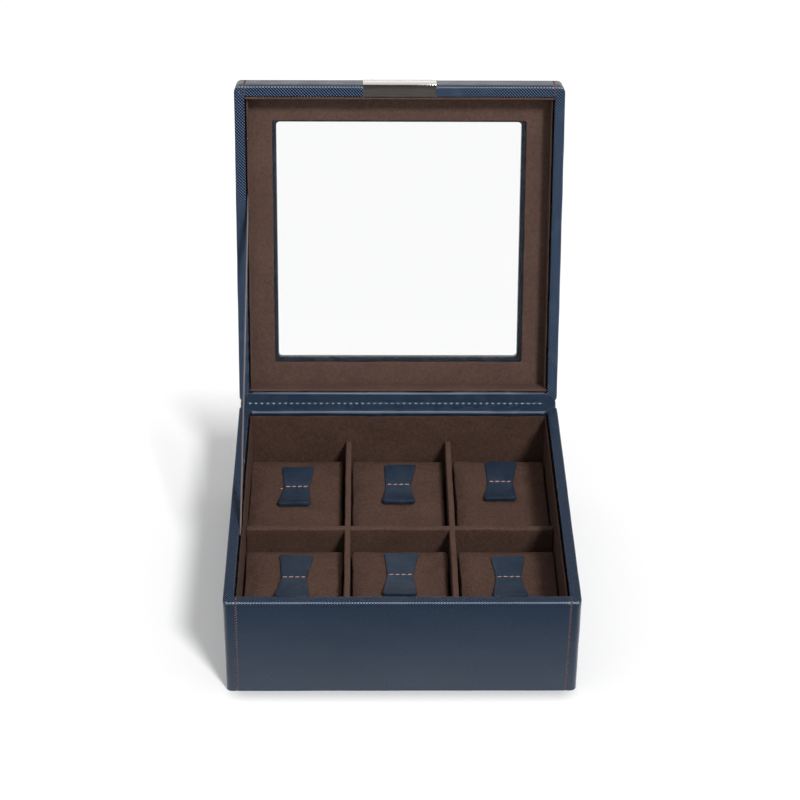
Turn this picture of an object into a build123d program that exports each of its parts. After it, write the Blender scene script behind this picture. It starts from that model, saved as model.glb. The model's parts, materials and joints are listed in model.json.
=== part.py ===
from build123d import *

import os
from math import cos, radians, sin

# Leather watch box: a square lidded case with six lined compartments, each with a loose
# cushion, a glass window in the lid and a ribbon that stays the lid a little past upright.
# Millimetres, +Z up, front towards -Y, origin on the ground under the middle of the base.
# The lid is drawn in its shut place on a frame that is turned about the hinge to the open pose.

# Outside of the case
WIDTH = 220.0
DEPTH = 220.0
BASE_HEIGHT = 70.0
LID_HEIGHT = 25.0
CORNER_RADIUS = 4.0
SEAT_GAP = 0.3
OPEN_ANGLE = 105.0

# Hinge axis, measured out from the back face and up from the rim of the base
HINGE_OUT = 1.0
HINGE_UP = 0.5
HINGE_LEG = 12.0
HINGE_END_INSET = 7.0

# Leather-covered walls
LEATHER = 0.8
RIM_WIDTH = 7.0
RIM_ROUND = 0.7
TURN_IN = 9.0
SEAM_INSET = 6.4
FLOOR_BOARD = 4.0
FELT = 0.8
FELT_INSET = 2.5

# Suede-covered linings and dividers
LINING = 1.8
FLOOR_LINING = 1.4
LINING_DROP = 3.7
LINING_BEVEL_DEPTH = 0.8
LINING_BEVEL_HEIGHT = 2.6
DIVIDER = 4.0
CROSS_DIVIDER = 4.8
DIVIDER_HEIGHT = 40.2
DIVIDER_ROUND = 0.9
LAP_CLEARANCE = 0.05

# Window in the lid
TOP_BOARD = 4.7
GLASS = 2.5
GLASS_LAP = 6.0
GLASS_CLEARANCE = 0.3
LID_PANEL = 1.5
WINDOW_BORDER = 26.8
WINDOW_RADIUS = 2.5
PANEL_BORDER = 25.4

# Magnetic catch: a steel plate on the lid over two bar magnets in the base
CLASP_WIDTH = 49.0
CLASP_HEIGHT = 18.0
CLASP_THICKNESS = 1.6
CLASP_ROUND = 0.5
MAGNET_LENGTH = 12.0
MAGNET_WIDTH = 4.0
MAGNET_HEIGHT = 4.0
MAGNET_SPACING = 26.0
MAGNET_CLEARANCE = 0.1

# Ribbon stay on the left side
STAY_FROM_FRONT = 87.5
STAY_WIDTH = 12.0
STAY_THICKNESS = 1.0
STAY_TUCK = 13.0
STAY_CLEARANCE = 0.1
STAY_SLOT_CLEARANCE = 1.0

# Loose cushions and their pull tabs
PAD_SIDE_GAP = 1.15
PAD_END_GAP = 0.8
PAD_LENGTH = 87.0
PAD_HEIGHT = 31.4
PAD_FLOOR_GAP = 0.3
PAD_CORNER = 6.0
PAD_DRAW_IN = 2.5
PAD_CROWN_RADIUS = 420.0
PAD_EDGE_ROUND = 3.0
TAB_LENGTH = 44.0
TAB_END_WIDTH = 22.4
TAB_WAIST_WIDTH = 17.2
TAB_THICKNESS = 1.6
TAB_RISE = 2.6
TAB_FLAT = 5.0
TAB_CORNER = 2.0
TAB_SEAT = 0.6
TAB_SEAT_CLEARANCE = 0.15

# Sideways shift of each cushion in its compartment, and how far the tab's waist lies from its back
CUSHIONS = {
    "rear_left": (-0.6, 30.0),
    "rear_middle": (-0.5, 28.0),
    "rear_right": (0.4, 26.0),
    "front_left": (0.3, 29.5),
    "front_middle": (-0.2, 27.0),
    "front_right": (0.6, 29.5),
}

TOLERANCE = 1e-4

# Places worked out from the sizes
SEAM_X = WIDTH / 2 - SEAM_INSET
OPENING_X = WIDTH - 2 * RIM_WIDTH
OPENING_Y = DEPTH - 2 * RIM_WIDTH
BOARD = RIM_WIDTH - 2 * LEATHER
BOARD_INNER_X = OPENING_X / 2 + LEATHER
BOARD_INNER_Y = OPENING_Y / 2 + LEATHER
BOARD_OUTER_X = WIDTH / 2 - LEATHER
BOARD_OUTER_Y = DEPTH / 2 - LEATHER
LINED_X = OPENING_X / 2 - LINING
LINED_Y = OPENING_Y / 2 - LINING

FLOOR_TOP = FELT + FLOOR_BOARD
INSIDE_FLOOR = FLOOR_TOP + FLOOR_LINING
BOARD_TOP = BASE_HEIGHT - LEATHER
LINING_TOP = BASE_HEIGHT - LINING_DROP
DIVIDER_TOP = INSIDE_FLOOR + DIVIDER_HEIGHT
COMPARTMENT_X = (2 * LINED_X - 2 * DIVIDER) / 3
DIVIDER_X = COMPARTMENT_X / 2 + DIVIDER / 2

LID_BOTTOM = BASE_HEIGHT + SEAT_GAP
LID_TOP = LID_BOTTOM + LID_HEIGHT
LID_BOARD_BOTTOM = LID_BOTTOM + LEATHER
LID_BOARD_TOP = LID_TOP - LEATHER
GLASS_TOP = LID_BOARD_TOP - TOP_BOARD
GLASS_BOTTOM = GLASS_TOP - GLASS
PANEL_BOTTOM = GLASS_BOTTOM - LID_PANEL
LID_LINING_BOTTOM = LID_BOTTOM + LINING_DROP
WINDOW_X = WIDTH - 2 * WINDOW_BORDER
WINDOW_Y = DEPTH - 2 * WINDOW_BORDER

HINGE_Y = DEPTH / 2 + HINGE_OUT
HINGE_Z = BASE_HEIGHT + HINGE_UP
TILT = radians(OPEN_ANGLE)

# Frames whose local coordinates are those of the shut box: the base's own, and the lid's,
# turned about the hinge so that the lid stands open
BASE_FRAME = Plane.XY
HINGE_FRAME = Plane(origin=(0, HINGE_Y, HINGE_Z), x_dir=(1, 0, 0), z_dir=(0, sin(TILT), cos(TILT)))
LID_FRAME = Plane(
    origin=HINGE_FRAME.from_local_coords(Vector(0, -HINGE_Y, -HINGE_Z)),
    x_dir=HINGE_FRAME.x_dir,
    z_dir=HINGE_FRAME.z_dir,
)


def opened(y, z):
    """Where a point of the shut lid, given as Y and Z, stands once the lid is open."""
    point = LID_FRAME.from_local_coords(Vector(0, y, z))
    return (point.Y, point.Z)


# Ribbon route: straight between the two rims, and on behind the linings at both ends
STAY_Y = -DEPTH / 2 + STAY_FROM_FRONT
STAY_FOOT = Vector(STAY_Y, BASE_HEIGHT)
STAY_HEAD = Vector(*opened(STAY_Y, LID_BOTTOM))
STAY_RUN = (STAY_HEAD - STAY_FOOT).normalized()
STAY_ACROSS = Vector(-STAY_RUN.Y, STAY_RUN.X)
STAY_SLOT_DEPTH = STAY_THICKNESS + STAY_CLEARANCE
STAY_SLOT_REACH = STAY_TUCK * STAY_RUN.Y + STAY_WIDTH / 2 * STAY_RUN.X - LINING_DROP + STAY_SLOT_CLEARANCE
STAY_SLOT_LENGTH = STAY_TUCK * STAY_RUN.X + STAY_WIDTH / 2 / STAY_RUN.Y + STAY_WIDTH / 2 * STAY_RUN.Y
STAY_SLOT_CENTRE = STAY_Y + STAY_WIDTH / 2 / STAY_RUN.Y - STAY_SLOT_LENGTH / 2


def side_plane(frame, x):
    """Plane of constant X in a frame, with local axes along the frame's Y and Z."""
    return Plane(origin=frame.from_local_coords(Vector(x, 0, 0)), x_dir=frame.y_dir, z_dir=frame.x_dir)


def cross_plane(frame, y):
    """Plane of constant Y in a frame, facing towards the back."""
    return Plane(origin=frame.from_local_coords(Vector(0, y, 0)), x_dir=frame.x_dir, z_dir=frame.y_dir)


def edges_on(part, plane):
    """Edges that lie in a plane."""
    return part.edges().filter_by(
        lambda edge: all(abs(plane.to_local_coords(edge @ place).Z) < TOLERANCE for place in (0, 0.5, 1))
    )


def save(piece, name):
    """Label a finished piece and write it as a STEP file."""
    piece.part.label = name
    export_step(piece.part, f"parts/{name}.step")


def block(frame, x_span, y_span, z_span):
    """Rectangular block between two values of each local coordinate."""
    with BuildPart() as piece:
        with BuildSketch(frame.offset(z_span[0])):
            with Locations((sum(x_span) / 2, sum(y_span) / 2)):
                Rectangle(x_span[1] - x_span[0], y_span[1] - y_span[0])
        extrude(amount=z_span[1] - z_span[0])
    return piece


def side_board(frame, side, z_span):
    """Left or right wall board, with the case's round corners at both ends."""
    with BuildPart() as piece:
        with BuildSketch(frame.offset(z_span[0])):
            RectangleRounded(2 * BOARD_OUTER_X, 2 * BOARD_OUTER_Y, CORNER_RADIUS - LEATHER)
            with Locations((-side * BOARD / 2, 0)):
                Rectangle(BOARD_INNER_X + BOARD_OUTER_X, 2 * BOARD_OUTER_Y, mode=Mode.SUBTRACT)
        extrude(amount=z_span[1] - z_span[0])
    return piece


def mitred_strip(frame, y_inner, y_outer, z_start, rise, mode):
    """Back rim's share of the corners: a prism bounded by the two mitre lines and the outline."""
    with BuildSketch(frame.offset(z_start)) as outline:
        with BuildLine():
            Polyline(
                (-OPENING_X / 2 + OPENING_Y / 2 - y_inner, y_inner),
                (OPENING_X / 2 - OPENING_Y / 2 + y_inner, y_inner),
                (OPENING_X / 2 - OPENING_Y / 2 + y_outer, y_outer),
                (-OPENING_X / 2 + OPENING_Y / 2 - y_outer, y_outer),
                close=True,
            )
        make_face()
        RectangleRounded(WIDTH, DEPTH, CORNER_RADIUS, mode=Mode.INTERSECT)
    extrude(outline.sketch, amount=rise, mode=mode)


def leather_shell(frame, far, rim):
    """Leather over all four walls: outer faces, rim and the part turned in below the rim."""
    inward = -1 if rim > far else 1
    with BuildPart() as shell:
        with BuildSketch(frame.offset(far)):
            RectangleRounded(WIDTH, DEPTH, CORNER_RADIUS)
        extrude(amount=rim - far)
        with BuildSketch(frame.offset(far)):
            RectangleRounded(2 * BOARD_OUTER_X, 2 * BOARD_OUTER_Y, CORNER_RADIUS - LEATHER)
        extrude(amount=rim - far + inward * LEATHER, mode=Mode.SUBTRACT)
        with BuildSketch(frame.offset(rim)):
            Rectangle(2 * BOARD_INNER_X, 2 * BOARD_INNER_Y)
        extrude(amount=inward * TURN_IN)
        with BuildSketch(frame.offset(rim)):
            Rectangle(OPENING_X, OPENING_Y)
        extrude(amount=inward * TURN_IN, mode=Mode.SUBTRACT)
        fillet(edges_on(shell, frame.offset(rim)), RIM_ROUND)
        mitred_strip(frame, OPENING_Y / 2, DEPTH / 2, rim, inward * LEATHER, Mode.SUBTRACT)
        mitred_strip(frame, OPENING_Y / 2, BOARD_INNER_Y, rim, inward * TURN_IN, Mode.SUBTRACT)
    return shell


def leather_covers(frame, far, rim):
    """Four covers cut from one shell: front and back between their seams, sides round the corners."""
    shell = leather_shell(frame, far, rim)
    z_span = sorted((far, rim))
    spans = {
        "front": block(frame, (-SEAM_X, SEAM_X), (-DEPTH / 2, -OPENING_Y / 2), z_span),
        "back": block(frame, (-SEAM_X, SEAM_X), (BOARD_OUTER_Y, DEPTH / 2), z_span),
    }
    covers = {}
    for name, span in spans.items():
        with BuildPart() as cover:
            add(shell.part)
            add(span.part, mode=Mode.INTERSECT)
        covers[name] = cover
    for name, kept in (("left", Keep.BOTTOM), ("right", Keep.TOP)):
        with BuildPart() as cover:
            add(shell.part)
            add(spans["front"].part, mode=Mode.SUBTRACT)
            add(spans["back"].part, mode=Mode.SUBTRACT)
            split(bisect_by=Plane.YZ, keep=kept)
        covers[name] = cover
    return covers


def lining_side(frame, side, edge, far, has_stay):
    """Left or right wall lining, bevelled along its free edge, with a slot for the ribbon."""
    inward = 1 if far > edge else -1
    wall = side * OPENING_X / 2
    face = side * LINED_X
    bevel = side * LINING_BEVEL_DEPTH
    with BuildPart() as lining:
        with BuildSketch(cross_plane(frame, -LINED_Y)):
            with BuildLine():
                Polyline(
                    (face, -edge),
                    (face, -far),
                    (wall, -far),
                    (wall, -edge - inward * LINING_BEVEL_HEIGHT),
                    (wall - bevel, -edge),
                    close=True,
                )
            make_face()
        extrude(amount=2 * LINED_Y)
        if has_stay:
            with BuildSketch(frame.offset(edge)):
                with Locations((wall - side * STAY_SLOT_DEPTH / 2, STAY_SLOT_CENTRE)):
                    Rectangle(STAY_SLOT_DEPTH, STAY_SLOT_LENGTH)
            extrude(amount=inward * STAY_SLOT_REACH, mode=Mode.SUBTRACT)
    return lining


def lining_end(frame, side, edge, far):
    """Front or back wall lining, bevelled along its free edge."""
    inward = 1 if far > edge else -1
    wall = side * OPENING_Y / 2
    face = side * LINED_Y
    bevel = side * LINING_BEVEL_DEPTH
    with BuildPart() as lining:
        with BuildSketch(side_plane(frame, -OPENING_X / 2)):
            with BuildLine():
                Polyline(
                    (face, edge),
                    (face, far),
                    (wall, far),
                    (wall, edge + inward * LINING_BEVEL_HEIGHT),
                    (wall - bevel, edge),
                    close=True,
                )
            make_face()
        extrude(amount=OPENING_X)
    return lining


def stay_ribbon():
    """Flat ribbon in a plane of constant X just inside the left walls."""
    foot = STAY_FOOT - STAY_RUN * STAY_TUCK
    head = STAY_HEAD + STAY_RUN * STAY_TUCK
    half = STAY_ACROSS * (STAY_WIDTH / 2)
    corners = [foot - half, head - half, head + half, foot + half]
    with BuildPart() as ribbon:
        with BuildSketch(side_plane(BASE_FRAME, -OPENING_X / 2)):
            with BuildLine():
                Polyline(*[(corner.X, corner.Y) for corner in corners], close=True)
            make_face()
        extrude(amount=STAY_THICKNESS)
    return ribbon


def leather_strip(path, side, half_width):
    """Bent leather strip: a path in the YZ plane given a thickness, as wide as asked."""
    with BuildPart() as strip:
        with BuildSketch(Plane.YZ.offset(-half_width)):
            with BuildLine():
                Polyline(*path)
                offset(amount=LEATHER, side=side, kind=Kind.INTERSECTION)
            make_face()
        extrude(amount=2 * half_width)
    return strip


def corner_waste(frame, z_start, rise):
    """What lies outside the mitre lines and the outline, to be cut from the hinge leather."""
    with BuildPart() as waste:
        with BuildSketch(frame.offset(z_start)):
            with Locations((0, (OPENING_Y + DEPTH) / 4)):
                Rectangle(WIDTH + 2 * RIM_WIDTH, RIM_WIDTH)
        extrude(amount=rise)
        mitred_strip(frame, OPENING_Y / 2, DEPTH / 2, z_start, rise, Mode.SUBTRACT)
    return waste


def hinge_gusset():
    """Leather over both back rims and the gap between them, turned in at both ends."""
    path = [
        (BOARD_INNER_Y, BASE_HEIGHT - TURN_IN),
        (BOARD_INNER_Y, BOARD_TOP),
        (DEPTH / 2, BOARD_TOP),
        opened(DEPTH / 2, LID_BOARD_BOTTOM),
        opened(BOARD_INNER_Y, LID_BOARD_BOTTOM),
        opened(BOARD_INNER_Y, LID_BOTTOM + TURN_IN),
    ]
    strip = leather_strip(path, Side.LEFT, WIDTH / 2)
    base_waste = corner_waste(BASE_FRAME, BASE_HEIGHT, -TURN_IN)
    lid_waste = corner_waste(LID_FRAME, LID_BOTTOM, TURN_IN)
    end_length = CORNER_RADIUS
    with BuildPart() as gusset:
        add(strip.part)
        add(base_waste.part, mode=Mode.SUBTRACT)
        add(lid_waste.part, mode=Mode.SUBTRACT)
        with BuildSketch(Plane.XY.offset(BASE_HEIGHT - TURN_IN)):
            with Locations(
                (-WIDTH / 2 + end_length / 2, DEPTH / 2 + end_length / 2),
                (WIDTH / 2 - end_length / 2, DEPTH / 2 + end_length / 2),
            ):
                Rectangle(end_length, end_length)
        extrude(amount=TURN_IN + HINGE_UP, mode=Mode.SUBTRACT)
    return gusset


def hinge_strap():
    """Leather strip outside the back, glued to base and lid below and above the gap."""
    path = [
        (DEPTH / 2, BASE_HEIGHT - HINGE_LEG),
        (DEPTH / 2, BOARD_TOP),
        opened(DEPTH / 2, LID_BOARD_BOTTOM),
        opened(DEPTH / 2, LID_BOTTOM + HINGE_LEG),
    ]
    return leather_strip(path, Side.RIGHT, WIDTH / 2 - HINGE_END_INSET)


def long_divider(side):
    """Front-to-back divider, notched from below where it laps over the cross divider."""
    with BuildPart() as divider:
        with BuildSketch(Plane.XY.offset(INSIDE_FLOOR)):
            with Locations((side * DIVIDER_X, 0)):
                Rectangle(DIVIDER, 2 * LINED_Y)
        extrude(amount=DIVIDER_HEIGHT)
        fillet(divider.edges().filter_by(Axis.Y).group_by(Axis.Z)[-1], DIVIDER_ROUND)
        with BuildSketch(Plane.XY.offset(INSIDE_FLOOR)):
            with Locations((side * DIVIDER_X, 0)):
                Rectangle(DIVIDER, CROSS_DIVIDER + 2 * LAP_CLEARANCE)
        extrude(amount=DIVIDER_HEIGHT / 2, mode=Mode.SUBTRACT)
    return divider


def cross_divider():
    """Side-to-side divider, notched from above for the two long dividers."""
    with BuildPart() as divider:
        with BuildSketch(Plane.XY.offset(INSIDE_FLOOR)):
            Rectangle(2 * LINED_X, CROSS_DIVIDER)
        extrude(amount=DIVIDER_HEIGHT)
        fillet(divider.edges().filter_by(Axis.X).group_by(Axis.Z)[-1], DIVIDER_ROUND)
        with BuildSketch(Plane.XY.offset(DIVIDER_TOP)):
            with Locations((-DIVIDER_X, 0), (DIVIDER_X, 0)):
                Rectangle(DIVIDER + 2 * LAP_CLEARANCE, CROSS_DIVIDER)
        extrude(amount=-DIVIDER_HEIGHT / 2, mode=Mode.SUBTRACT)
    return divider


def lid_rail(side):
    """Front or back rail of the window frame, rebated below for the glass."""
    wall = side * BOARD_INNER_Y
    edge = side * (WINDOW_Y / 2 + LEATHER)
    rebate = side * (WINDOW_Y / 2 + GLASS_LAP + GLASS_CLEARANCE)
    with BuildPart() as rail:
        with BuildSketch(side_plane(LID_FRAME, -BOARD_INNER_X)):
            with BuildLine():
                Polyline(
                    (wall, LID_BOARD_TOP),
                    (edge, LID_BOARD_TOP),
                    (edge, GLASS_TOP),
                    (rebate, GLASS_TOP),
                    (rebate, GLASS_BOTTOM),
                    (wall, GLASS_BOTTOM),
                    close=True,
                )
            make_face()
        extrude(amount=2 * BOARD_INNER_X)
    return rail


def lid_stile(side):
    """Left or right stile of the window frame, between the rails, rebated for the glass."""
    wall = side * BOARD_INNER_X
    edge = side * (WINDOW_X / 2 + LEATHER)
    rebate = side * (WINDOW_X / 2 + GLASS_LAP + GLASS_CLEARANCE)
    half_length = WINDOW_Y / 2 + LEATHER
    glass_half = WINDOW_Y / 2 + GLASS_LAP + GLASS_CLEARANCE
    with BuildPart() as stile:
        with BuildSketch(LID_FRAME.offset(GLASS_BOTTOM)):
            with Locations(((wall + edge) / 2, 0)):
                Rectangle(abs(wall - edge), 2 * half_length)
        extrude(amount=LID_BOARD_TOP - GLASS_BOTTOM)
        with BuildSketch(LID_FRAME.offset(GLASS_BOTTOM)):
            with Locations(((rebate + edge) / 2, 0)):
                Rectangle(abs(rebate - edge), 2 * glass_half)
        extrude(amount=GLASS, mode=Mode.SUBTRACT)
    return stile


def lid_top_leather():
    """Leather over the top of the lid, turned down round the window to the glass."""
    with BuildPart() as cover:
        with BuildSketch(LID_FRAME.offset(LID_BOARD_TOP)):
            RectangleRounded(WIDTH, DEPTH, CORNER_RADIUS)
        extrude(amount=LEATHER)
        fillet(edges_on(cover, LID_FRAME.offset(LID_TOP)), RIM_ROUND)
        with BuildSketch(LID_FRAME.offset(GLASS_TOP)):
            Rectangle(WINDOW_X + 2 * LEATHER, WINDOW_Y + 2 * LEATHER)
        extrude(amount=TOP_BOARD)
        with BuildSketch(LID_FRAME.offset(GLASS_TOP)):
            RectangleRounded(WINDOW_X, WINDOW_Y, WINDOW_RADIUS)
        extrude(amount=TOP_BOARD + LEATHER, mode=Mode.SUBTRACT)
    return cover


def lid_panel():
    """Suede-covered frame inside the lid, under the glass."""
    with BuildPart() as panel:
        with BuildSketch(LID_FRAME.offset(PANEL_BOTTOM)):
            Rectangle(2 * BOARD_INNER_X, 2 * BOARD_INNER_Y)
            Rectangle(WIDTH - 2 * PANEL_BORDER, DEPTH - 2 * PANEL_BORDER, mode=Mode.SUBTRACT)
        extrude(amount=LID_PANEL)
    return panel


def window_glass():
    """Pane that sits in the rebate, held up by the lining frame."""
    with BuildPart() as glass:
        with BuildSketch(LID_FRAME.offset(GLASS_BOTTOM)):
            Rectangle(WINDOW_X + 2 * GLASS_LAP, WINDOW_Y + 2 * GLASS_LAP)
        extrude(amount=GLASS)
    return glass


def clasp_plate():
    """Bent steel plate: one leg down the lid's front face, one across its rim."""
    front = -DEPTH / 2 - CLASP_THICKNESS
    with BuildPart() as plate:
        with BuildSketch(side_plane(LID_FRAME, -CLASP_WIDTH / 2)):
            with BuildLine():
                Polyline(
                    (front, LID_BOTTOM),
                    (-OPENING_Y / 2, LID_BOTTOM),
                    (-OPENING_Y / 2, LID_BOARD_BOTTOM),
                    (-DEPTH / 2, LID_BOARD_BOTTOM),
                    (-DEPTH / 2, LID_BOTTOM + CLASP_HEIGHT),
                    (front, LID_BOTTOM + CLASP_HEIGHT),
                    close=True,
                )
            make_face()
        extrude(amount=CLASP_WIDTH)
        fillet(edges_on(plate, cross_plane(LID_FRAME, front)), CLASP_ROUND)
    return plate


def magnet_pockets(clearance):
    """Two bars in a row under the clasp, grown by a clearance on every side but the top."""
    length = MAGNET_LENGTH + 2 * clearance
    width = MAGNET_WIDTH + 2 * clearance
    with BuildPart() as bars:
        with BuildSketch(Plane.XY.offset(BOARD_TOP)):
            with Locations((-MAGNET_SPACING / 2, 0), (MAGNET_SPACING / 2, 0)):
                with Locations((0, -(BOARD_INNER_Y + BOARD_OUTER_Y) / 2)):
                    Rectangle(length, width)
        extrude(amount=-MAGNET_HEIGHT - clearance)
    return bars


def cushion(x, y_back):
    """Crowned pad: widest at half height, drawn in above and below, flat seat for the tab."""
    width = COMPARTMENT_X - 2 * PAD_SIDE_GAP
    bottom = INSIDE_FLOOR + PAD_FLOOR_GAP
    middle = Plane.XY.offset(bottom + PAD_HEIGHT / 2)
    with BuildPart() as pad:
        with BuildSketch(middle):
            with Locations((x, y_back - PAD_LENGTH / 2)):
                RectangleRounded(width, PAD_LENGTH, PAD_CORNER)
        extrude(amount=PAD_HEIGHT / 2 + PAD_EDGE_ROUND, taper=PAD_DRAW_IN)
        with BuildSketch(middle):
            with Locations((x, y_back - PAD_LENGTH / 2)):
                RectangleRounded(width, PAD_LENGTH, PAD_CORNER)
        extrude(amount=-PAD_HEIGHT / 2, taper=PAD_DRAW_IN)
        with Locations((x, y_back - PAD_LENGTH / 2, bottom + PAD_HEIGHT - PAD_CROWN_RADIUS)):
            Sphere(PAD_CROWN_RADIUS, mode=Mode.INTERSECT)
        fillet(pad.faces().sort_by(Axis.Z)[-1].edges(), PAD_EDGE_ROUND)
        fillet(pad.faces().sort_by(Axis.Z)[0].edges(), PAD_EDGE_ROUND)
    return pad


def pull_tab(x, y_waist):
    """Leather tab sewn down across its waist, both ends curling up from the pad."""
    seat = INSIDE_FLOOR + PAD_FLOOR_GAP + PAD_HEIGHT - TAB_SEAT
    half = TAB_LENGTH / 2
    end = TAB_END_WIDTH / 2
    waist = TAB_WAIST_WIDTH / 2
    with BuildPart() as tab:
        with BuildSketch(side_plane(BASE_FRAME, x - TAB_END_WIDTH)):
            with BuildLine():
                flat_from = (y_waist - TAB_FLAT / 2, seat)
                flat_to = (y_waist + TAB_FLAT / 2, seat)
                Line(flat_from, flat_to)
                TangentArc(flat_to, (y_waist + half, seat + TAB_SEAT + TAB_RISE), tangent=(1, 0))
                TangentArc(flat_from, (y_waist - half, seat + TAB_SEAT + TAB_RISE), tangent=(-1, 0))
                offset(amount=TAB_THICKNESS, side=Side.LEFT)
            make_face()
        extrude(amount=2 * TAB_END_WIDTH)
        with BuildSketch(Plane.XY.offset(seat)):
            with BuildLine():
                Polyline(
                    (x - end, y_waist + half),
                    (x - waist, y_waist),
                    (x - end, y_waist - half),
                    (x + end, y_waist - half),
                    (x + waist, y_waist),
                    (x + end, y_waist + half),
                    close=True,
                )
            make_face()
        extrude(amount=TAB_SEAT + TAB_RISE + 2 * TAB_THICKNESS, mode=Mode.INTERSECT)
        corners = tab.edges().filter_by(Axis.Z).group_by(Axis.Y)
        fillet(corners[0] + corners[-1], TAB_CORNER)
    return tab


def make_base():
    """Boards, leather, felt, linings and dividers of the base."""
    board_span = (FELT, BOARD_TOP)
    inner_x = (-BOARD_INNER_X, BOARD_INNER_X)
    inner_y = (-BOARD_INNER_Y, BOARD_INNER_Y)
    felt_x = WIDTH / 2 - FELT_INSET
    felt_y = DEPTH / 2 - FELT_INSET
    save(side_board(BASE_FRAME, -1, board_span), "base_board_left")
    save(side_board(BASE_FRAME, 1, board_span), "base_board_right")
    save(block(BASE_FRAME, inner_x, (BOARD_INNER_Y, BOARD_OUTER_Y), board_span), "base_board_back")
    save(block(BASE_FRAME, inner_x, inner_y, (FELT, FLOOR_TOP)), "base_board_floor")
    save(block(BASE_FRAME, (-felt_x, felt_x), (-felt_y, felt_y), (0, FELT)), "underside_felt")

    front_board = block(BASE_FRAME, inner_x, (-BOARD_OUTER_Y, -BOARD_INNER_Y), board_span)
    with BuildPart() as pocketed:
        add(front_board.part)
        add(magnet_pockets(MAGNET_CLEARANCE).part, mode=Mode.SUBTRACT)
    save(pocketed, "base_board_front")
    for solid, name in zip(magnet_pockets(0).solids().sort_by(Axis.X), ("left", "right")):
        with BuildPart() as magnet:
            add(solid)
        save(magnet, f"catch_magnet_{name}")

    for name, cover in leather_covers(BASE_FRAME, FELT, BASE_HEIGHT).items():
        save(cover, f"base_cover_{name}")

    lining_floor = block(
        BASE_FRAME, (-OPENING_X / 2, OPENING_X / 2), (-OPENING_Y / 2, OPENING_Y / 2), (FLOOR_TOP, INSIDE_FLOOR)
    )
    save(lining_floor, "lining_floor")
    save(lining_side(BASE_FRAME, -1, LINING_TOP, INSIDE_FLOOR, True), "lining_left")
    save(lining_side(BASE_FRAME, 1, LINING_TOP, INSIDE_FLOOR, False), "lining_right")
    save(lining_end(BASE_FRAME, -1, LINING_TOP, INSIDE_FLOOR), "lining_front")
    save(lining_end(BASE_FRAME, 1, LINING_TOP, INSIDE_FLOOR), "lining_back")
    save(long_divider(-1), "divider_left")
    save(long_divider(1), "divider_right")
    save(cross_divider(), "divider_cross")


def make_lid():
    """Boards, leather, window, linings and clasp of the lid."""
    board_span = (LID_BOARD_BOTTOM, LID_BOARD_TOP)
    inner_x = (-BOARD_INNER_X, BOARD_INNER_X)
    save(side_board(LID_FRAME, -1, board_span), "lid_board_left")
    save(side_board(LID_FRAME, 1, board_span), "lid_board_right")
    save(block(LID_FRAME, inner_x, (-BOARD_OUTER_Y, -BOARD_INNER_Y), board_span), "lid_board_front")
    save(block(LID_FRAME, inner_x, (BOARD_INNER_Y, BOARD_OUTER_Y), board_span), "lid_board_back")
    save(lid_rail(-1), "lid_rail_front")
    save(lid_rail(1), "lid_rail_back")
    save(lid_stile(-1), "lid_stile_left")
    save(lid_stile(1), "lid_stile_right")
    save(window_glass(), "window_glass")
    save(lid_top_leather(), "lid_cover_top")

    plate = clasp_plate()
    save(plate, "clasp_plate")
    for name, cover in leather_covers(LID_FRAME, LID_BOARD_TOP, LID_BOTTOM).items():
        with BuildPart() as fitted:
            add(cover.part)
            add(plate.part, mode=Mode.SUBTRACT)
        save(fitted, f"lid_cover_{name}")

    save(lid_panel(), "lid_lining_panel")
    save(lining_side(LID_FRAME, -1, LID_LINING_BOTTOM, PANEL_BOTTOM, True), "lid_lining_left")
    save(lining_side(LID_FRAME, 1, LID_LINING_BOTTOM, PANEL_BOTTOM, False), "lid_lining_right")
    save(lining_end(LID_FRAME, -1, LID_LINING_BOTTOM, PANEL_BOTTOM), "lid_lining_front")
    save(lining_end(LID_FRAME, 1, LID_LINING_BOTTOM, PANEL_BOTTOM), "lid_lining_back")


def make_cushions():
    """Six cushions, each with its tab, resting in the compartments."""
    columns = {"left": -1, "middle": 0, "right": 1}
    spans = {"rear": CROSS_DIVIDER / 2, "front": -LINED_Y}
    for name, (shift, setback) in CUSHIONS.items():
        row, column = name.split("_")
        x = columns[column] * (COMPARTMENT_X + DIVIDER) + shift
        y_back = spans[row] + PAD_END_GAP + PAD_LENGTH
        tab = pull_tab(x, y_back - setback)
        with BuildPart() as pad:
            add(cushion(x, y_back).part)
            with BuildSketch(Plane.XY.offset(INSIDE_FLOOR + PAD_FLOOR_GAP + PAD_HEIGHT - TAB_SEAT)):
                with Locations((x, y_back - setback)):
                    Rectangle(TAB_END_WIDTH + 2 * TAB_SEAT_CLEARANCE, TAB_LENGTH / 2)
            extrude(amount=TAB_SEAT, mode=Mode.SUBTRACT)
        save(pad, f"cushion_{name}")
        save(tab, f"tab_{name}")


os.makedirs("parts", exist_ok=True)
make_base()
make_lid()
save(hinge_gusset(), "hinge_gusset")
save(hinge_strap(), "hinge_strap")
save(stay_ribbon(), "stay_ribbon")
make_cushions()
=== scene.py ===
"""Looks of a leather watch box: covers, linings, cushions, window, catch, ribbon and stitching."""

import json
import logging
import math
from abc import ABC, abstractmethod
from collections.abc import Callable, Sequence
from dataclasses import dataclass, replace
from enum import Enum
from functools import reduce

import bmesh
import bpy
import numpy as np
from mathutils import Matrix


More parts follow.
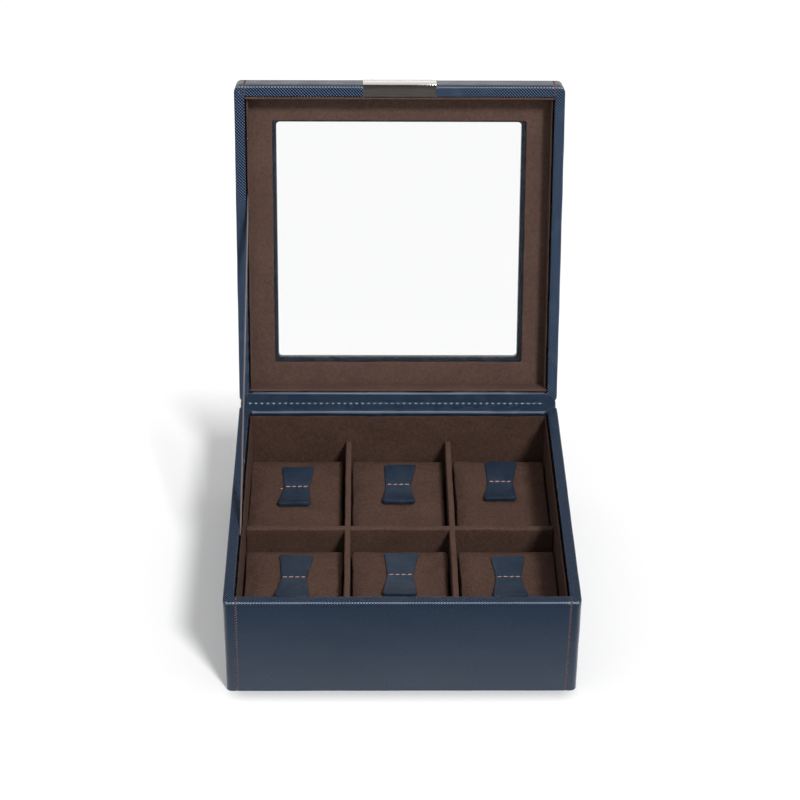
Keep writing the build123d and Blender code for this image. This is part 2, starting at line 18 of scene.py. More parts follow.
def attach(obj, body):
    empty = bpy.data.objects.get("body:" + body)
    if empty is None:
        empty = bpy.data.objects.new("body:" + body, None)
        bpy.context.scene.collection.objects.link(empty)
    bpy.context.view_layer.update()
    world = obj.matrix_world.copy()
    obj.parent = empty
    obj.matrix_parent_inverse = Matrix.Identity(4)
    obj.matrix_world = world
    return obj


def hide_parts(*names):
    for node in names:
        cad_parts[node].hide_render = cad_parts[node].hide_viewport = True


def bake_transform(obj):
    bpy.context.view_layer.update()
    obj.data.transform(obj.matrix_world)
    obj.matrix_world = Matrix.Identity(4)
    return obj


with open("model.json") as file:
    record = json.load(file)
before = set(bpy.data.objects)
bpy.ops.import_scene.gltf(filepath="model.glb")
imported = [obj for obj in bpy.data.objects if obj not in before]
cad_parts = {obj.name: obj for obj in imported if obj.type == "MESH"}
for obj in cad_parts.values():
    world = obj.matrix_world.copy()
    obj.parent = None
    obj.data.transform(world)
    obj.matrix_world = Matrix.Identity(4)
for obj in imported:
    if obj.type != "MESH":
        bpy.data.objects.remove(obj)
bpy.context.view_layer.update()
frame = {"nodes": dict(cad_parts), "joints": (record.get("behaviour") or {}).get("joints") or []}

log = logging.getLogger("watch_box")

Colour = tuple[float, float, float, float]
Socket = bpy.types.NodeSocket
Plan = Callable[[np.ndarray, np.ndarray], np.ndarray]

# Sizes that several pieces share, in metres

MM = 0.001
HALF = 110 * MM  # half of the outside width and depth
WALL = 7 * MM  # a covered wall, without its lining
SKIN = 0.8 * MM  # leather
CORNER = 4 * MM  # outer radius of the upright corners
TURN_IN = 9 * MM  # how far the leather runs down inside
BASE_RIM = 70 * MM
LID_RIM = 70.3 * MM  # with the lid shut
LID_OPEN = math.radians(105)
HINGE = next(joint["pos_m"] for joint in frame["joints"] if joint["name"] == "lid_hinge")
OPEN_RIM = math.sin(LID_OPEN) * HINGE[1] + (math.cos(LID_OPEN) - 1) * HINGE[2] + LID_RIM  # at rest
RIBBON_Y = -22.5 * MM
BEYOND = 400 * MM  # further than any piece reaches


def tone(red: int, green: int, blue: int) -> Colour:
    """Linear colour of a tone as it shows on a screen.

    Args:
        red: Red share, 0 to 255.
        green: Green share, 0 to 255.
        blue: Blue share, 0 to 255.

    Returns:
        Red, green, blue and alpha as the shaders take them.
    """
    shares = [share / 255 for share in (red, green, blue)]
    linear = [s / 12.92 if s <= 0.04045 else ((s + 0.055) / 1.055) ** 2.4 for s in shares]
    return (linear[0], linear[1], linear[2], 1.0)


class Slot(Enum):
    """Material slots of the record."""

    CASE_LEATHER = "case_leather"
    TAB_LEATHER = "tab_leather"
    SUEDE_LINING = "suede_lining"
    CUSHION_SUEDE = "cushion_suede"
    BOARD = "board"
    FELT = "felt"
    GLASS = "glass"
    POLISHED_STEEL = "polished_steel"
    MAGNET = "magnet"
    RIBBON = "ribbon"


class Side(Enum):
    """Left and right of the box, as the sign of X."""

    LEFT = -1
    RIGHT = 1


# Materials


class Nodes:
    """Short ways of adding and joining the nodes of one tree."""

    def __init__(self, tree: bpy.types.NodeTree) -> None:
        """Start with an empty tree.

        Args:
            tree: Tree of a material or of the world.
        """
        self.tree = tree
        tree.nodes.clear()

    def add(
        self, kind: str, values: dict[str, object] | None = None, **settings: object
    ) -> bpy.types.Node:
        """Add one node.

        Args:
            kind: Node type without its ShaderNode prefix.
            values: Constants for its input sockets.
            **settings: Properties of the node.

        Returns:
            The new node.
        """
        node = self.tree.nodes.new("ShaderNode" + kind)
        for name, value in settings.items():
            setattr(node, name, value)
        for name, value in (values or {}).items():
            node.inputs[name].default_value = value
        return node

    def join(self, source: Socket, target: Socket) -> None:
        """Join an output socket to an input socket."""
        self.tree.links.new(source, target)

    def feed(self, value: object, target: Socket) -> None:
        """Join a socket to an input, or set the input to a constant."""
        if isinstance(value, Socket):
            self.join(value, target)
        else:
            target.default_value = value

    def place(self, output: str) -> Socket:
        """One of the texture coordinates, named as on its node."""
        return self.add("TexCoord").outputs[output]

    def axes(self, vector: Socket) -> tuple[Socket, Socket, Socket]:
        """X, Y and Z of coordinates."""
        node = self.add("SeparateXYZ")
        self.join(vector, node.inputs[0])
        return node.outputs["X"], node.outputs["Y"], node.outputs["Z"]

    def turned(self, vector: Socket, angle: float, scale: Sequence[float] = (1, 1, 1)) -> Socket:
        """Turn coordinates about Z and stretch them.

        Args:
            vector: Coordinates.
            angle: Turn in degrees.
            scale: Stretch along each axis.

        Returns:
            The changed coordinates.
        """
        node = self.add("Mapping", {"Rotation": (0, 0, math.radians(angle)), "Scale": tuple(scale)})
        self.join(vector, node.inputs["Vector"])
        return node.outputs["Vector"]

    def noise(self, vector: Socket, scale: float, detail: float) -> Socket:
        """Soft noise.

        Args:
            vector: Coordinates in metres.
            scale: Spots to the metre.
            detail: Octaves of finer noise.

        Returns:
            Height from 0 to 1.
        """
        node = self.add("TexNoise", {"Scale": scale, "Detail": detail})
        self.join(vector, node.inputs["Vector"])
        return node.outputs["Fac"]

    def bands(self, vector: Socket, pitch: float, distortion: float) -> Socket:
        """Soft parallel ridges across X.

        Args:
            vector: Coordinates in metres.
            pitch: Distance between ridges.
            distortion: How far they wander.

        Returns:
            Height from 0 to 1.
        """
        node = self.add(
            "TexWave",
            {"Scale": math.pi / 10 / pitch, "Distortion": distortion, "Detail": 1.0, "Detail Scale": 0.8},
            wave_type="BANDS",
            bands_direction="X",
        )
        self.join(vector, node.inputs["Vector"])
        return node.outputs["Fac"]

    def maths(self, operation: str, first: Socket | float, second: Socket | float = 0.0) -> Socket:
        """Arithmetic on two sockets or numbers.

        Args:
            operation: Name of the operation.
            first: Socket or number.
            second: Socket or number.

        Returns:
            The result.
        """
        node = self.add("Math", operation=operation)
        self.feed(first, node.inputs[0])
        self.feed(second, node.inputs[1])
        return node.outputs["Value"]

    def times(self, *values: Socket | float) -> Socket:
        """Product of sockets and numbers."""
        return reduce(lambda first, second: self.maths("MULTIPLY", first, second), values)

    def plus(self, *values: Socket | float) -> Socket:
        """Sum of sockets and numbers."""
        return reduce(lambda first, second: self.maths("ADD", first, second), values)

    def weighed(self, *heights: tuple[Socket, float]) -> Socket:
        """Sum of heights, each given with its weight."""
        return self.plus(*[self.times(height, weight) for height, weight in heights])

    def spread(self, value: Socket, low: float, high: float, to_low: float, to_high: float) -> Socket:
        """Stretch a range of values onto another.

        Args:
            value: What is stretched.
            low: Lower end of its range.
            high: Upper end of its range.
            to_low: What the lower end becomes.
            to_high: What the upper end becomes.

        Returns:
            The stretched value, held between the new ends.
        """
        node = self.add("MapRange", {"From Min": low, "From Max": high, "To Min": to_low, "To Max": to_high})
        self.join(value, node.inputs["Value"])
        return node.outputs["Result"]

    def mix(self, share: Socket, first: Socket | Colour, second: Socket | Colour) -> Socket:
        """Blend two colours.

        Args:
            share: How much of the second shows.
            first: Colour or socket.
            second: Colour or socket.

        Returns:
            The blended colour.
        """
        node = self.add("Mix", data_type="RGBA")
        for index, value in ((0, share), (6, first), (7, second)):
            self.feed(value, node.inputs[index])
        return node.outputs[2]

    def bump(self, height: Socket, distance: float, under: Socket | None = None) -> Socket:
        """Relief from a height.

        Args:
            height: Height from 0 to 1.
            distance: How high 1 stands, in metres.
            under: Normal that this relief is laid on.

        Returns:
            The new normal.
        """
        node = self.add("Bump", {"Distance": distance, "Strength": 1.0})
        self.join(height, node.inputs["Height"])
        if under is not None:
            self.join(under, node.inputs["Normal"])
        return node.outputs["Normal"]

    def glow(self, strength: Socket) -> Socket:
        """White light given off by a surface."""
        node = self.add("Emission")
        self.join(strength, node.inputs["Strength"])
        return node.outputs[0]

    def joined(self, kind: str, *parts: Socket) -> Socket:
        """Shader made of other sockets, by a node that adds or mixes them."""
        node = self.add(kind)
        for part, target in zip(parts, node.inputs):
            self.join(part, target)
        return node.outputs[0]


class MaterialNodes(Nodes):
    """Nodes of one material, started with a principled shader."""

    def __init__(self, name: str) -> None:
        """Start a material.

        Args:
            name: Name of the material.
        """
        self.material = bpy.data.materials.new(name)
        self.material.use_nodes = True
        super().__init__(self.material.node_tree)
        self.output = self.add("OutputMaterial")
        self.shader = self.add("BsdfPrincipled")
        self.join(self.shader.outputs["BSDF"], self.output.inputs["Surface"])

    def dress(self, values: dict[str, object]) -> bpy.types.Material:
        """Set the shader's sockets and hand over the material.

        Args:
            values: A constant or a socket for each named input.

        Returns:
            The finished material.
        """
        for name, value in values.items():
            self.feed(value, self.shader.inputs[name])
        return self.material


@dataclass(frozen=True)
class Finish(ABC):
    """A surface finish, made into a material the first time it is used."""

    name: str
    slot: Slot

    @abstractmethod
    def inputs(self, n: MaterialNodes) -> dict[str, object]:
        """Inputs of the shader.

        Args:
            n: Nodes of the material.

        Returns:
            A constant or a socket for each named input.
        """

    def material(self) -> bpy.types.Material:
        """The material, built once."""
        if self.name in bpy.data.materials:
            return bpy.data.materials[self.name]
        n = MaterialNodes(self.name)
        return n.dress(self.inputs(n))


@dataclass(frozen=True)
class CrossGrainLeather(Finish):
    """Coated leather pressed with fine diagonal lines that cross. Places are those at rest.

    Attributes:
        rim_ridge_and_highlight: Colour of the lines near the rim, with a painted highlight.
        rim_groove_and_shade: Colour between them near the rim, with painted shade.
        soft_ridge: Colour of the lines on the faces.
        soft_groove: Colour between them on the faces.
        patch: Colour that large soft patches lean to.
        fold_highlight: Colour of the painted highlight on convex folds.
        shade: Colour of the painted shade beyond painted_shade_from.
        pitch: Distance between the lines.
        rim_plane: Factors of Y and of Z and a constant, which add up to the depth from the rim.
        rim_fade: Depths between which the lines turn from painted highlight and shade to soft.
        crossing: Share of the second set of lines.
        mirror: Whether the first set leans to the other side.
        unfolded: Whether the lines follow the texture places. Otherwise they follow X and Y plus Z.
        highlight_x: Folds get the painted highlight only nearer to the middle than this.
        highlight_y: Folds get the painted highlight only ahead of this.
        highlight_z: Folds get the painted highlight only above this.
        painted_shade_from: The leather is painted dark beyond this Y, as painted shade.
        dull_from: The leather is dull beyond this Y, most of all at the start.
        dull_above: The leather is dull only above this.
        dull_reach: How far beyond dull_from the extra dullness fades.
    """

    # Near the rim the line colours carry a painted highlight on the ridges and painted shade in the grooves.
    rim_ridge_and_highlight: Colour = tone(98, 120, 154)
    rim_groove_and_shade: Colour = tone(5, 12, 23)
    soft_ridge: Colour = tone(46, 62, 82)
    soft_groove: Colour = tone(20, 32, 47)
    patch: Colour = tone(45, 60, 78)
    # Painted highlight on convex folds.
    fold_highlight: Colour = tone(150, 162, 180)
    # Painted shade, used beyond a given Y.
    shade: Colour = tone(4, 7, 12)
    pitch: float = 1.4 * MM
    rim_plane: tuple[float, float, float] = (0.0, -1.0, BASE_RIM)
    rim_fade: tuple[float, float] = (1.2 * MM, 2.4 * MM)
    relief: float = 0.05 * MM
    specular: float = 0.26
    crossing: float = 0.3
    mirror: bool = False
    unfolded: bool = True
    highlight_x: float = 108 * MM
    highlight_y: float = BEYOND
    highlight_z: float = 282.8 * MM
    painted_shade_from: float = BEYOND
    dull_from: float = BEYOND
    dull_above: float = 277.2 * MM
    dull_reach: float = 10 * MM

    def laid(self, n: Nodes, x: Socket, y: Socket, z: Socket) -> Socket:
        """Coordinates that the lines follow."""
        if self.unfolded:
            return n.place("UV")
        rolled = n.add("CombineXYZ")
        n.join(x, rolled.inputs["X"])
        n.join(n.plus(y, z), rolled.inputs["Y"])
        return rolled.outputs[0]

    def lattice(self, n: Nodes, flat: Socket) -> Socket:
        """Height of both sets of lines."""
        turn = -45 if self.mirror else 45
        main = n.bands(n.turned(flat, turn), self.pitch, 0.5)
        across = n.bands(n.turned(flat, -turn), self.pitch * 1.06, 0.5)
        return n.weighed((main, 1 - self.crossing), (across, self.crossing))

    def lines(self, n: Nodes, height: Socket, y: Socket, z: Socket) -> Socket:
        """Colour of the lines, with painted highlight and shade near the rim and soft on the faces."""
        by_y, by_z, start = self.rim_plane
        depth = n.plus(n.times(y, by_y), n.times(z, by_z), start)
        rim_painted_share = n.spread(depth, *self.rim_fade, 1, 0)
        painted_light_lines = n.mix(n.spread(height, 0.48, 0.9, 0, 1), self.rim_groove_and_shade, self.rim_ridge_and_highlight)
        soft = n.mix(n.spread(height, 0.3, 0.92, 0, 1), self.soft_groove, self.soft_ridge)
        return n.mix(rim_painted_share, soft, painted_light_lines)

    def fold_highlight_share(self, n: Nodes, lattice: Socket, axes: tuple[Socket, Socket, Socket]) -> Socket:
        """How much painted highlight each place gets: only folds do, and only where the fields say."""
        x, y, z = axes
        beside = n.maths("LESS_THAN", n.maths("ABSOLUTE", x), self.highlight_x)
        ahead = n.maths("LESS_THAN", y, self.highlight_y)
        above = n.maths("GREATER_THAN", z, self.highlight_z)
        fold = n.spread(n.add("NewGeometry").outputs["Pointiness"], 0.519, 0.525, 0, 0.75)
        return n.times(fold, beside, ahead, above, n.spread(lattice, 0.25, 0.7, 0.15, 1))

    def roughness(self, n: Nodes, solid: Socket, y: Socket, z: Socket) -> Socket:
        """Roughness, higher where the fields say that the leather is dull."""
        even = n.spread(n.noise(solid, 60, 2), 0.3, 0.7, 0.22, 0.3)
        beyond = n.maths("GREATER_THAN", y, self.dull_from)
        above = n.maths("GREATER_THAN", z, self.dull_above)
        dull = n.spread(y, self.dull_from, self.dull_from + self.dull_reach, 0.5, 0.08)
        return n.plus(even, n.times(beyond, above, dull))

    def inputs(self, n: MaterialNodes) -> dict[str, object]:
        """Inputs of the shader."""
        solid = n.place("Object")
        x, y, z = n.axes(solid)
        flat = self.laid(n, x, y, z)
        lattice = self.lattice(n, flat)
        height = n.weighed((lattice, 0.85), (n.noise(flat, 3200, 2), 0.15))
        patches = n.spread(n.noise(solid, 16, 3), 0.3, 0.7, 0.0, 0.15)
        colour = n.mix(patches, self.lines(n, height, y, z), self.patch)
        # Painted highlight on the convex folds, broken up by the lines.
        colour = n.mix(self.fold_highlight_share(n, lattice, (x, y, z)), colour, self.fold_highlight)
        # Painted shade beyond a given Y, where the hinge fold lies in its own shade.
        colour = n.mix(n.maths("GREATER_THAN", y, self.painted_shade_from), colour, self.shade)
        waves = n.bump(n.noise(solid, 55, 2), 0.12 * MM)
        return {
            "Base Color": colour,
            "Roughness": self.roughness(n, solid, y, z),
            "Normal": n.bump(height, self.relief, waves),
            "Specular IOR Level": self.specular,
        }


@dataclass(frozen=True)
class SmoothLeather(Finish):
    """Thin smooth leather with a fine even grain."""

    light: Colour = tone(36, 51, 69)
    dark: Colour = tone(26, 39, 56)
    specular: float = 0.3

    def inputs(self, n: MaterialNodes) -> dict[str, object]:
        """Inputs of the shader."""
        solid = n.place("Object")
        grain = n.noise(solid, 1500, 3)
        patches = n.spread(n.noise(solid, 90, 2), 0.3, 0.7, 0, 1)
        colour = n.mix(patches, self.dark, self.light)
        rough = n.spread(grain, 0.3, 0.7, 0.38, 0.5)
        normal = n.bump(grain, 0.03 * MM, n.bump(n.noise(solid, 120, 1), 0.1 * MM))
        return {
            "Base Color": colour,
            "Roughness": rough,
            "Normal": normal,
            "Specular IOR Level": self.specular,
        }


@dataclass(frozen=True)
class Suede(Finish):
    """Brushed suede with patches where the nap lies another way, and a painted highlight along its top
    edges.
    """

    light: Colour
    dark: Colour
    sheen: float = 0.12
    nap: float = 0.2 * MM
    # Painted highlight where the top edges catch the light.
    top_highlight: Colour = tone(112, 90, 82)
    top_highlight_from: float | None = None
    top_highlight_depth: float = 0.9 * MM

    def inputs(self, n: MaterialNodes) -> dict[str, object]:
        """Inputs of the shader."""
        solid = n.place("Object")
        strokes = n.spread(n.noise(solid, 38, 3), 0.32, 0.68, 0.1, 0.9)
        mottle = n.spread(n.noise(solid, 420, 3), 0.32, 0.68, 0, 1)
        fibres = n.noise(solid, 1150, 2)
        specks = n.spread(fibres, 0.38, 0.62, 0, 1)
        share = n.weighed((strokes, 0.3), (mottle, 0.3), (specks, 0.4))
        colour = n.mix(share, self.dark, self.light)
        # Painted highlight on the top edges.
        if self.top_highlight_from is not None:
            _, _, z = n.axes(solid)
            top_highlight_share = n.spread(z, self.top_highlight_from, self.top_highlight_from + self.top_highlight_depth, 0, 0.4)
            colour = n.mix(top_highlight_share, colour, n.mix(specks, self.light, self.top_highlight))
        relief = n.weighed((mottle, 0.5), (fibres, 0.5))
        return {
            "Base Color": colour,
            "Roughness": n.spread(fibres, 0.3, 0.7, 0.88, 1.0),
            "Normal": n.bump(relief, self.nap),
            "Specular IOR Level": 0.12,
            "Sheen Weight": self.sheen,
            "Sheen Roughness": 0.55,
            "Sheen Tint": tone(150, 122, 110),
        }


@dataclass(frozen=True)
class Thread(Finish):
    """Twisted sewing thread, lighter on the crests of its plies and darker between them: painted highlight
    and painted shade of the twist.
    """

    # Painted highlight on the crests of the plies and painted shade between them.
    light: Colour = tone(132, 94, 96)
    dark: Colour = tone(50, 28, 34)
    twist: float = 0.7 * MM

    def inputs(self, n: MaterialNodes) -> dict[str, object]:
        """Inputs of the shader."""
        plies = n.bands(n.turned(n.place("UV"), 38), self.twist, 0.6)
        fuzz = n.noise(n.place("Object"), 2500, 2)
        share = n.weighed((plies, 0.7), (fuzz, 0.3))
        return {
            "Base Color": n.mix(n.spread(share, 0.2, 0.7, 0, 1), self.dark, self.light),
            "Roughness": n.spread(fuzz, 0.3, 0.7, 0.5, 0.75),
            "Normal": n.bump(plies, 0.09 * MM),
            "Specular IOR Level": 0.35,
            "Sheen Weight": 0.15,
        }


@dataclass(frozen=True)
class Ribbon(Finish):
    """Woven ribbon with slanting ribs over fine warp lines."""

    light: Colour = tone(100, 84, 83)
    dark: Colour = tone(48, 38, 42)
    rib: float = 1.5 * MM

    def inputs(self, n: MaterialNodes) -> dict[str, object]:
        """Inputs of the shader."""
        flat = n.place("UV")
        ribs = n.bands(n.turned(flat, 30), self.rib, 0.4)
        warp = n.bands(n.turned(flat, 90), self.rib * 0.3, 0.1)
        weave = n.weighed((ribs, 0.7), (warp, 0.3))
        patches = n.spread(n.noise(n.place("Object"), 45, 2), 0.3, 0.7, 0, 0.4)
        colour = n.mix(patches, n.mix(weave, self.dark, self.light), self.light)
        return {
            "Base Color": colour,
            "Roughness": n.spread(weave, 0, 1, 0.75, 0.55),
            "Normal": n.bump(weave, 0.08 * MM),
            "Sheen Weight": 0.2,
        }


@dataclass(frozen=True)
class PolishedSteel(Finish):
    """Polished plate with the faint hairlines of wiping."""

    def inputs(self, n: MaterialNodes) -> dict[str, object]:
        """Inputs of the shader."""
        solid = n.place("Object")
        hairs = n.noise(n.turned(solid, 0, (30, 900, 900)), 1.0, 3)
        smears = n.noise(solid, 70, 2)
        rough = n.plus(n.spread(hairs, 0.3, 0.7, 0.10, 0.16), n.spread(smears, 0.35, 0.7, 0, 0.06))
        return {
            "Base Color": n.mix(smears, tone(184, 181, 179), tone(200, 197, 195)),
            "Metallic": 1.0,
            "Roughness": rough,
            "Normal": n.bump(hairs, 0.004 * MM),
        }


@dataclass(frozen=True)
class ClearGlass(Finish):
    """Clear pane with a trace of dust."""

    def inputs(self, n: MaterialNodes) -> dict[str, object]:
        """Inputs of the shader."""
        dust = n.noise(n.place("Object"), 140, 3)
        return {
            "Base Color": n.mix(dust, tone(253, 254, 254), tone(255, 255, 255)),
            "Roughness": n.spread(dust, 0.5, 0.8, 0.0, 0.03),
            "Transmission Weight": 1.0,
            "IOR": 1.45,
        }


@dataclass(frozen=True)
class Fibreboard(Finish):
    """Pressed wood fibre."""

    def inputs(self, n: MaterialNodes) -> dict[str, object]:
        """Inputs of the shader."""
        solid = n.place("Object")
        fibres = n.noise(n.turned(solid, 20, (1, 1, 0.35)), 1300, 4)
        flecks = n.spread(n.noise(solid, 240, 3), 0.4, 0.65, 0, 1)
        share = n.weighed((fibres, 0.6), (flecks, 0.4))
        return {
            "Base Color": n.mix(share, tone(128, 96, 62), tone(178, 146, 106)),
            "Roughness": n.spread(fibres, 0.3, 0.7, 0.75, 0.95),
            "Normal": n.bump(fibres, 0.08 * MM),
        }


@dataclass(frozen=True)
class Felt(Finish):
    """Pressed wool felt."""

    def inputs(self, n: MaterialNodes) -> dict[str, object]:
        """Inputs of the shader."""
        solid = n.place("Object")
        fibres = n.noise(n.turned(solid, 25, (1, 0.5, 1)), 1900, 4)
        lint = n.spread(n.noise(solid, 500, 2), 0.4, 0.7, 0, 1)
        return {
            "Base Color": n.mix(n.times(fibres, lint), tone(34, 34, 38), tone(70, 70, 76)),
            "Roughness": n.spread(fibres, 0.3, 0.7, 0.9, 1.0),
            "Normal": n.bump(fibres, 0.15 * MM),
            "Sheen Weight": 0.3,
            "Sheen Roughness": 0.5,
        }


@dataclass(frozen=True)
class NickelPlate(Finish):
    """Nickel plated magnet."""

    def inputs(self, n: MaterialNodes) -> dict[str, object]:
        """Inputs of the shader."""
        grain = n.noise(n.place("Object"), 900, 3)
        return {
            "Base Color": n.mix(grain, tone(176, 174, 166), tone(198, 196, 190)),
            "Metallic": 1.0,
            "Roughness": n.spread(grain, 0.3, 0.7, 0.22, 0.34),
            "Normal": n.bump(grain, 0.01 * MM),
        }


# The three leathers are one leather; each copy's rim line colours paint the highlight its own surface
# catches.
LID_LEATHER = CrossGrainLeather(
    "navy_cross_grain",
    Slot.CASE_LEATHER,
    rim_plane=(math.sin(LID_OPEN), math.cos(LID_OPEN), -OPEN_RIM),
    specular=0.22,
    dull_from=168.7 * MM,
)
BASE_LEATHER = CrossGrainLeather(
    "navy_fine_grain",
    Slot.CASE_LEATHER,
    rim_ridge_and_highlight=tone(82, 103, 134),
    pitch=1.25 * MM,
    relief=0.03 * MM,
    crossing=0.45,
    highlight_y=-108.6 * MM,
    highlight_z=68.8 * MM,
)
HINGE_LEATHER = CrossGrainLeather(
    "navy_hinge_grain",
    Slot.CASE_LEATHER,
    rim_ridge_and_highlight=tone(74, 98, 128),
    rim_groove_and_shade=tone(3, 10, 20),
    # Painted highlight on the ridges and painted shade in the grooves all over.
    rim_plane=(0.0, 0.0, 0.0),  # strong lines all over
    unfolded=False,
    specular=0.2,
    mirror=True,
    highlight_x=100.8 * MM,
    highlight_z=0.0,
    # Painted shade on the far side of the hinge fold.
    painted_shade_from=114.0 * MM,
)
TAB_LEATHER = SmoothLeather("navy_smooth", Slot.TAB_LEATHER)
LID_SUEDE = Suede("lid_suede", Slot.SUEDE_LINING, tone(97, 76, 68), tone(71, 54, 48))
# The lid's suede painted darker, to stand for the shade inside the base.
SHADED_WALL_SUEDE = Suede("wall_suede", Slot.SUEDE_LINING, tone(88, 66, 57), tone(57, 41, 34), sheen=0.06)
# Base suede with its painted shade, plus a painted highlight on the top edges.
DIVIDER_SUEDE = replace(SHADED_WALL_SUEDE, name="divider_nap", top_highlight_from=45.2 * MM)
CUSHION_SUEDE = Suede("cushion_nap", Slot.CUSHION_SUEDE, tone(97, 74, 65), tone(62, 45, 39), sheen=0.03)
SEAM_THREAD = Thread("seam_thread", Slot.CASE_LEATHER)
HINGE_THREAD = Thread("hinge_thread", Slot.CASE_LEATHER, tone(226, 230, 234), tone(160, 168, 178))
TAB_THREAD = Thread("tab_thread", Slot.TAB_LEATHER, tone(216, 182, 172), tone(128, 74, 74))
RIBBON = Ribbon("stay_ribbon_weave", Slot.RIBBON)
STEEL = PolishedSteel("wiped_steel", Slot.POLISHED_STEEL)
GLASS = ClearGlass("clear_glass", Slot.GLASS)
BOARD = Fibreboard("fibreboard", Slot.BOARD)
FELT = Felt("dark_felt", Slot.FELT)
NICKEL = NickelPlate("nickel_plate", Slot.MAGNET)


# Places and skins


@dataclass(frozen=True)
class Placement:
    """Where a body's pieces stand, when their points are given for the shut box."""

    body: str
    pivot: tuple[float, float, float] = (0.0, 0.0, 0.0)
    turn: float = 0.0

    def to_scene(self, points: np.ndarray) -> np.ndarray:
        """Move points of the shut box to where they stand at rest.

        Args:
            points: Rows of X, Y and Z.

        Returns:
            The moved points.
        """
        c, s = math.cos(self.turn), math.sin(self.turn)
        matrix = np.array([[1, 0, 0], [0, c, -s], [0, s, c]])
        return (np.asarray(points, float) - self.pivot) @ matrix.T + self.pivot

    def box(self, node: str) -> tuple[np.ndarray, np.ndarray]:
        """Measure a CAD node as if the box were shut.

        Args:
            node: Name of the node.

        Returns:
            Its lowest and highest corner.
        """
        points = np.array([v.co for v in frame["nodes"][node].data.vertices], float)
        shut = Placement(self.body, self.pivot, -self.turn).to_scene(points)
        return shut.min(0), shut.max(0)


@dataclass
class Skin:
    """Points and faces of closed skins, with texture places for the face corners if they are given."""

    points: np.ndarray
    faces: list[tuple[int, ...]]
    corners: np.ndarray | None = None

    def box_corners(self) -> np.ndarray:
        """Texture places in metres, laid flat on each face along the axis that it faces most."""
        places = []
        for face in self.faces:
            ring = self.points[list(face)]
            after = np.roll(ring, -1, 0)
            normal = np.abs(np.cross(ring, after).sum(0))
            axis = int(normal.argmax())
            kept = [(1, 2), (0, 2), (0, 1)][axis]
            places.append(ring[:, kept])
        return np.concatenate(places)

    def mirrored(self) -> "Skin":
        """The same skin on the other side of the middle."""
        return Skin(self.points * (-1, 1, 1), [face[::-1] for face in self.faces])

    def build(self, name: str, place: Placement, smooth_to: float = 40.0) -> bpy.types.Object:
        """Make the mesh object.

        Args:
            name: Name of the piece.
            place: Where the shut box's points stand.
            smooth_to: Edges sharper than this many degrees stay sharp.

        Returns:
            The object, in the scene.
        """
        mesh = bpy.data.meshes.new(name)
        mesh.from_pydata(place.to_scene(self.points).tolist(), [], self.faces)
        corners = self.box_corners() if self.corners is None else self.corners
        layer = mesh.uv_layers.new(name="UVMap")
        layer.data.foreach_set("uv", corners.astype(np.float32).ravel())
        shape = bmesh.new()
        shape.from_mesh(mesh)
        bmesh.ops.recalc_face_normals(shape, faces=shape.faces)
        shape.to_mesh(mesh)
        shape.free()
        mesh.shade_smooth()
        mesh.set_sharp_from_angle(angle=math.radians(smooth_to))
        piece = bpy.data.objects.new(name, mesh)
        bpy.context.scene.collection.objects.link(piece)
        return piece


def merged(skins: Sequence[Skin]) -> Skin:
    """Put several skins into one.

    Args:
        skins: Skins, all with texture places or all without.

    Returns:
        One skin.
    """
    faces: list[tuple[int, ...]] = []
    start = 0
    for skin in skins:
        faces += [tuple(index + start for index in face) for face in skin.faces]
        start += len(skin.points)
    with_corners = all(skin.corners is not None for skin in skins)
    corners = np.concatenate([skin.corners for skin in skins]) if with_corners else None
    return Skin(np.concatenate([skin.points for skin in skins]), faces, corners)


def loft(rings: np.ndarray, loop: bool = False) -> Skin:
    """Skin through closed rings of points.

    Args:
        rings: Array of rings, points and X, Y, Z.
        loop: Whether the last ring joins the first. Otherwise both ends are closed.

    Returns:
        The skin.
    """
    count, around = rings.shape[:2]
    faces: list[tuple[int, ...]] = []
    for i in range(count if loop else count - 1):
        j = (i + 1) % count
        for k in range(around):
            m = (k + 1) % around
            faces.append((i * around + k, j * around + k, j * around + m, i * around + m))
    if not loop:
        faces.append(tuple(range(around)))
        faces.append(tuple((count - 1) * around + k for k in reversed(range(around))))
    return Skin(rings.reshape(-1, 3), faces)


def rounded_block(low: Sequence[float], high: Sequence[float], edge: float, spacing: float) -> Skin:
    """Closed block with round edges, divided finely enough to be bent.

    Args:
        low: Lowest corner.
        high: Highest corner.
        edge: Radius of the edges.
        spacing: Longest side of a face.

    Returns:
        The skin.
    """
    low, high = np.asarray(low, float), np.asarray(high, float)
    half, centre = (high - low) / 2, (high + low) / 2
    arc = edge * np.tan(np.radians([45, 30, 15, 0]))
    lines = []
    for h in half:
        inner = np.linspace(-(h - edge), h - edge, max(2, math.ceil(2 * (h - edge) / spacing) + 1))
        lines.append(np.concatenate([-(h - edge) - arc[:-1], inner, (h - edge) + arc[:-1][::-1]]))
    sizes = [len(line) for line in lines]
    index: dict[tuple[int, int, int], int] = {}
    points: list[list[float]] = []
    faces: list[tuple[int, ...]] = []

    def corner(key: tuple[int, int, int]) -> int:
        """Number of the lattice point, added when it is first met."""
        if key not in index:
            index[key] = len(points)
            points.append([lines[a][key[a]] for a in range(3)])
        return index[key]

    for axis in range(3):
        a, b = [k for k in range(3) if k != axis]
        for end in (0, sizes[axis] - 1):
            for i in range(sizes[a] - 1):
                for j in range(sizes[b] - 1):
                    face = []
                    for di, dj in ((0, 0), (1, 0), (1, 1), (0, 1)):
                        key = [0, 0, 0]
                        key[axis], key[a], key[b] = end, i + di, j + dj
                        face.append(corner((key[0], key[1], key[2])))
                    faces.append(tuple(face))
    lattice = np.array(points)
    core = np.clip(lattice, -(half - edge), half - edge)
    away = lattice - core
    length = np.linalg.norm(away, axis=1, keepdims=True)
    return Skin(core + away / np.maximum(length, 1e-12) * edge + centre, faces)


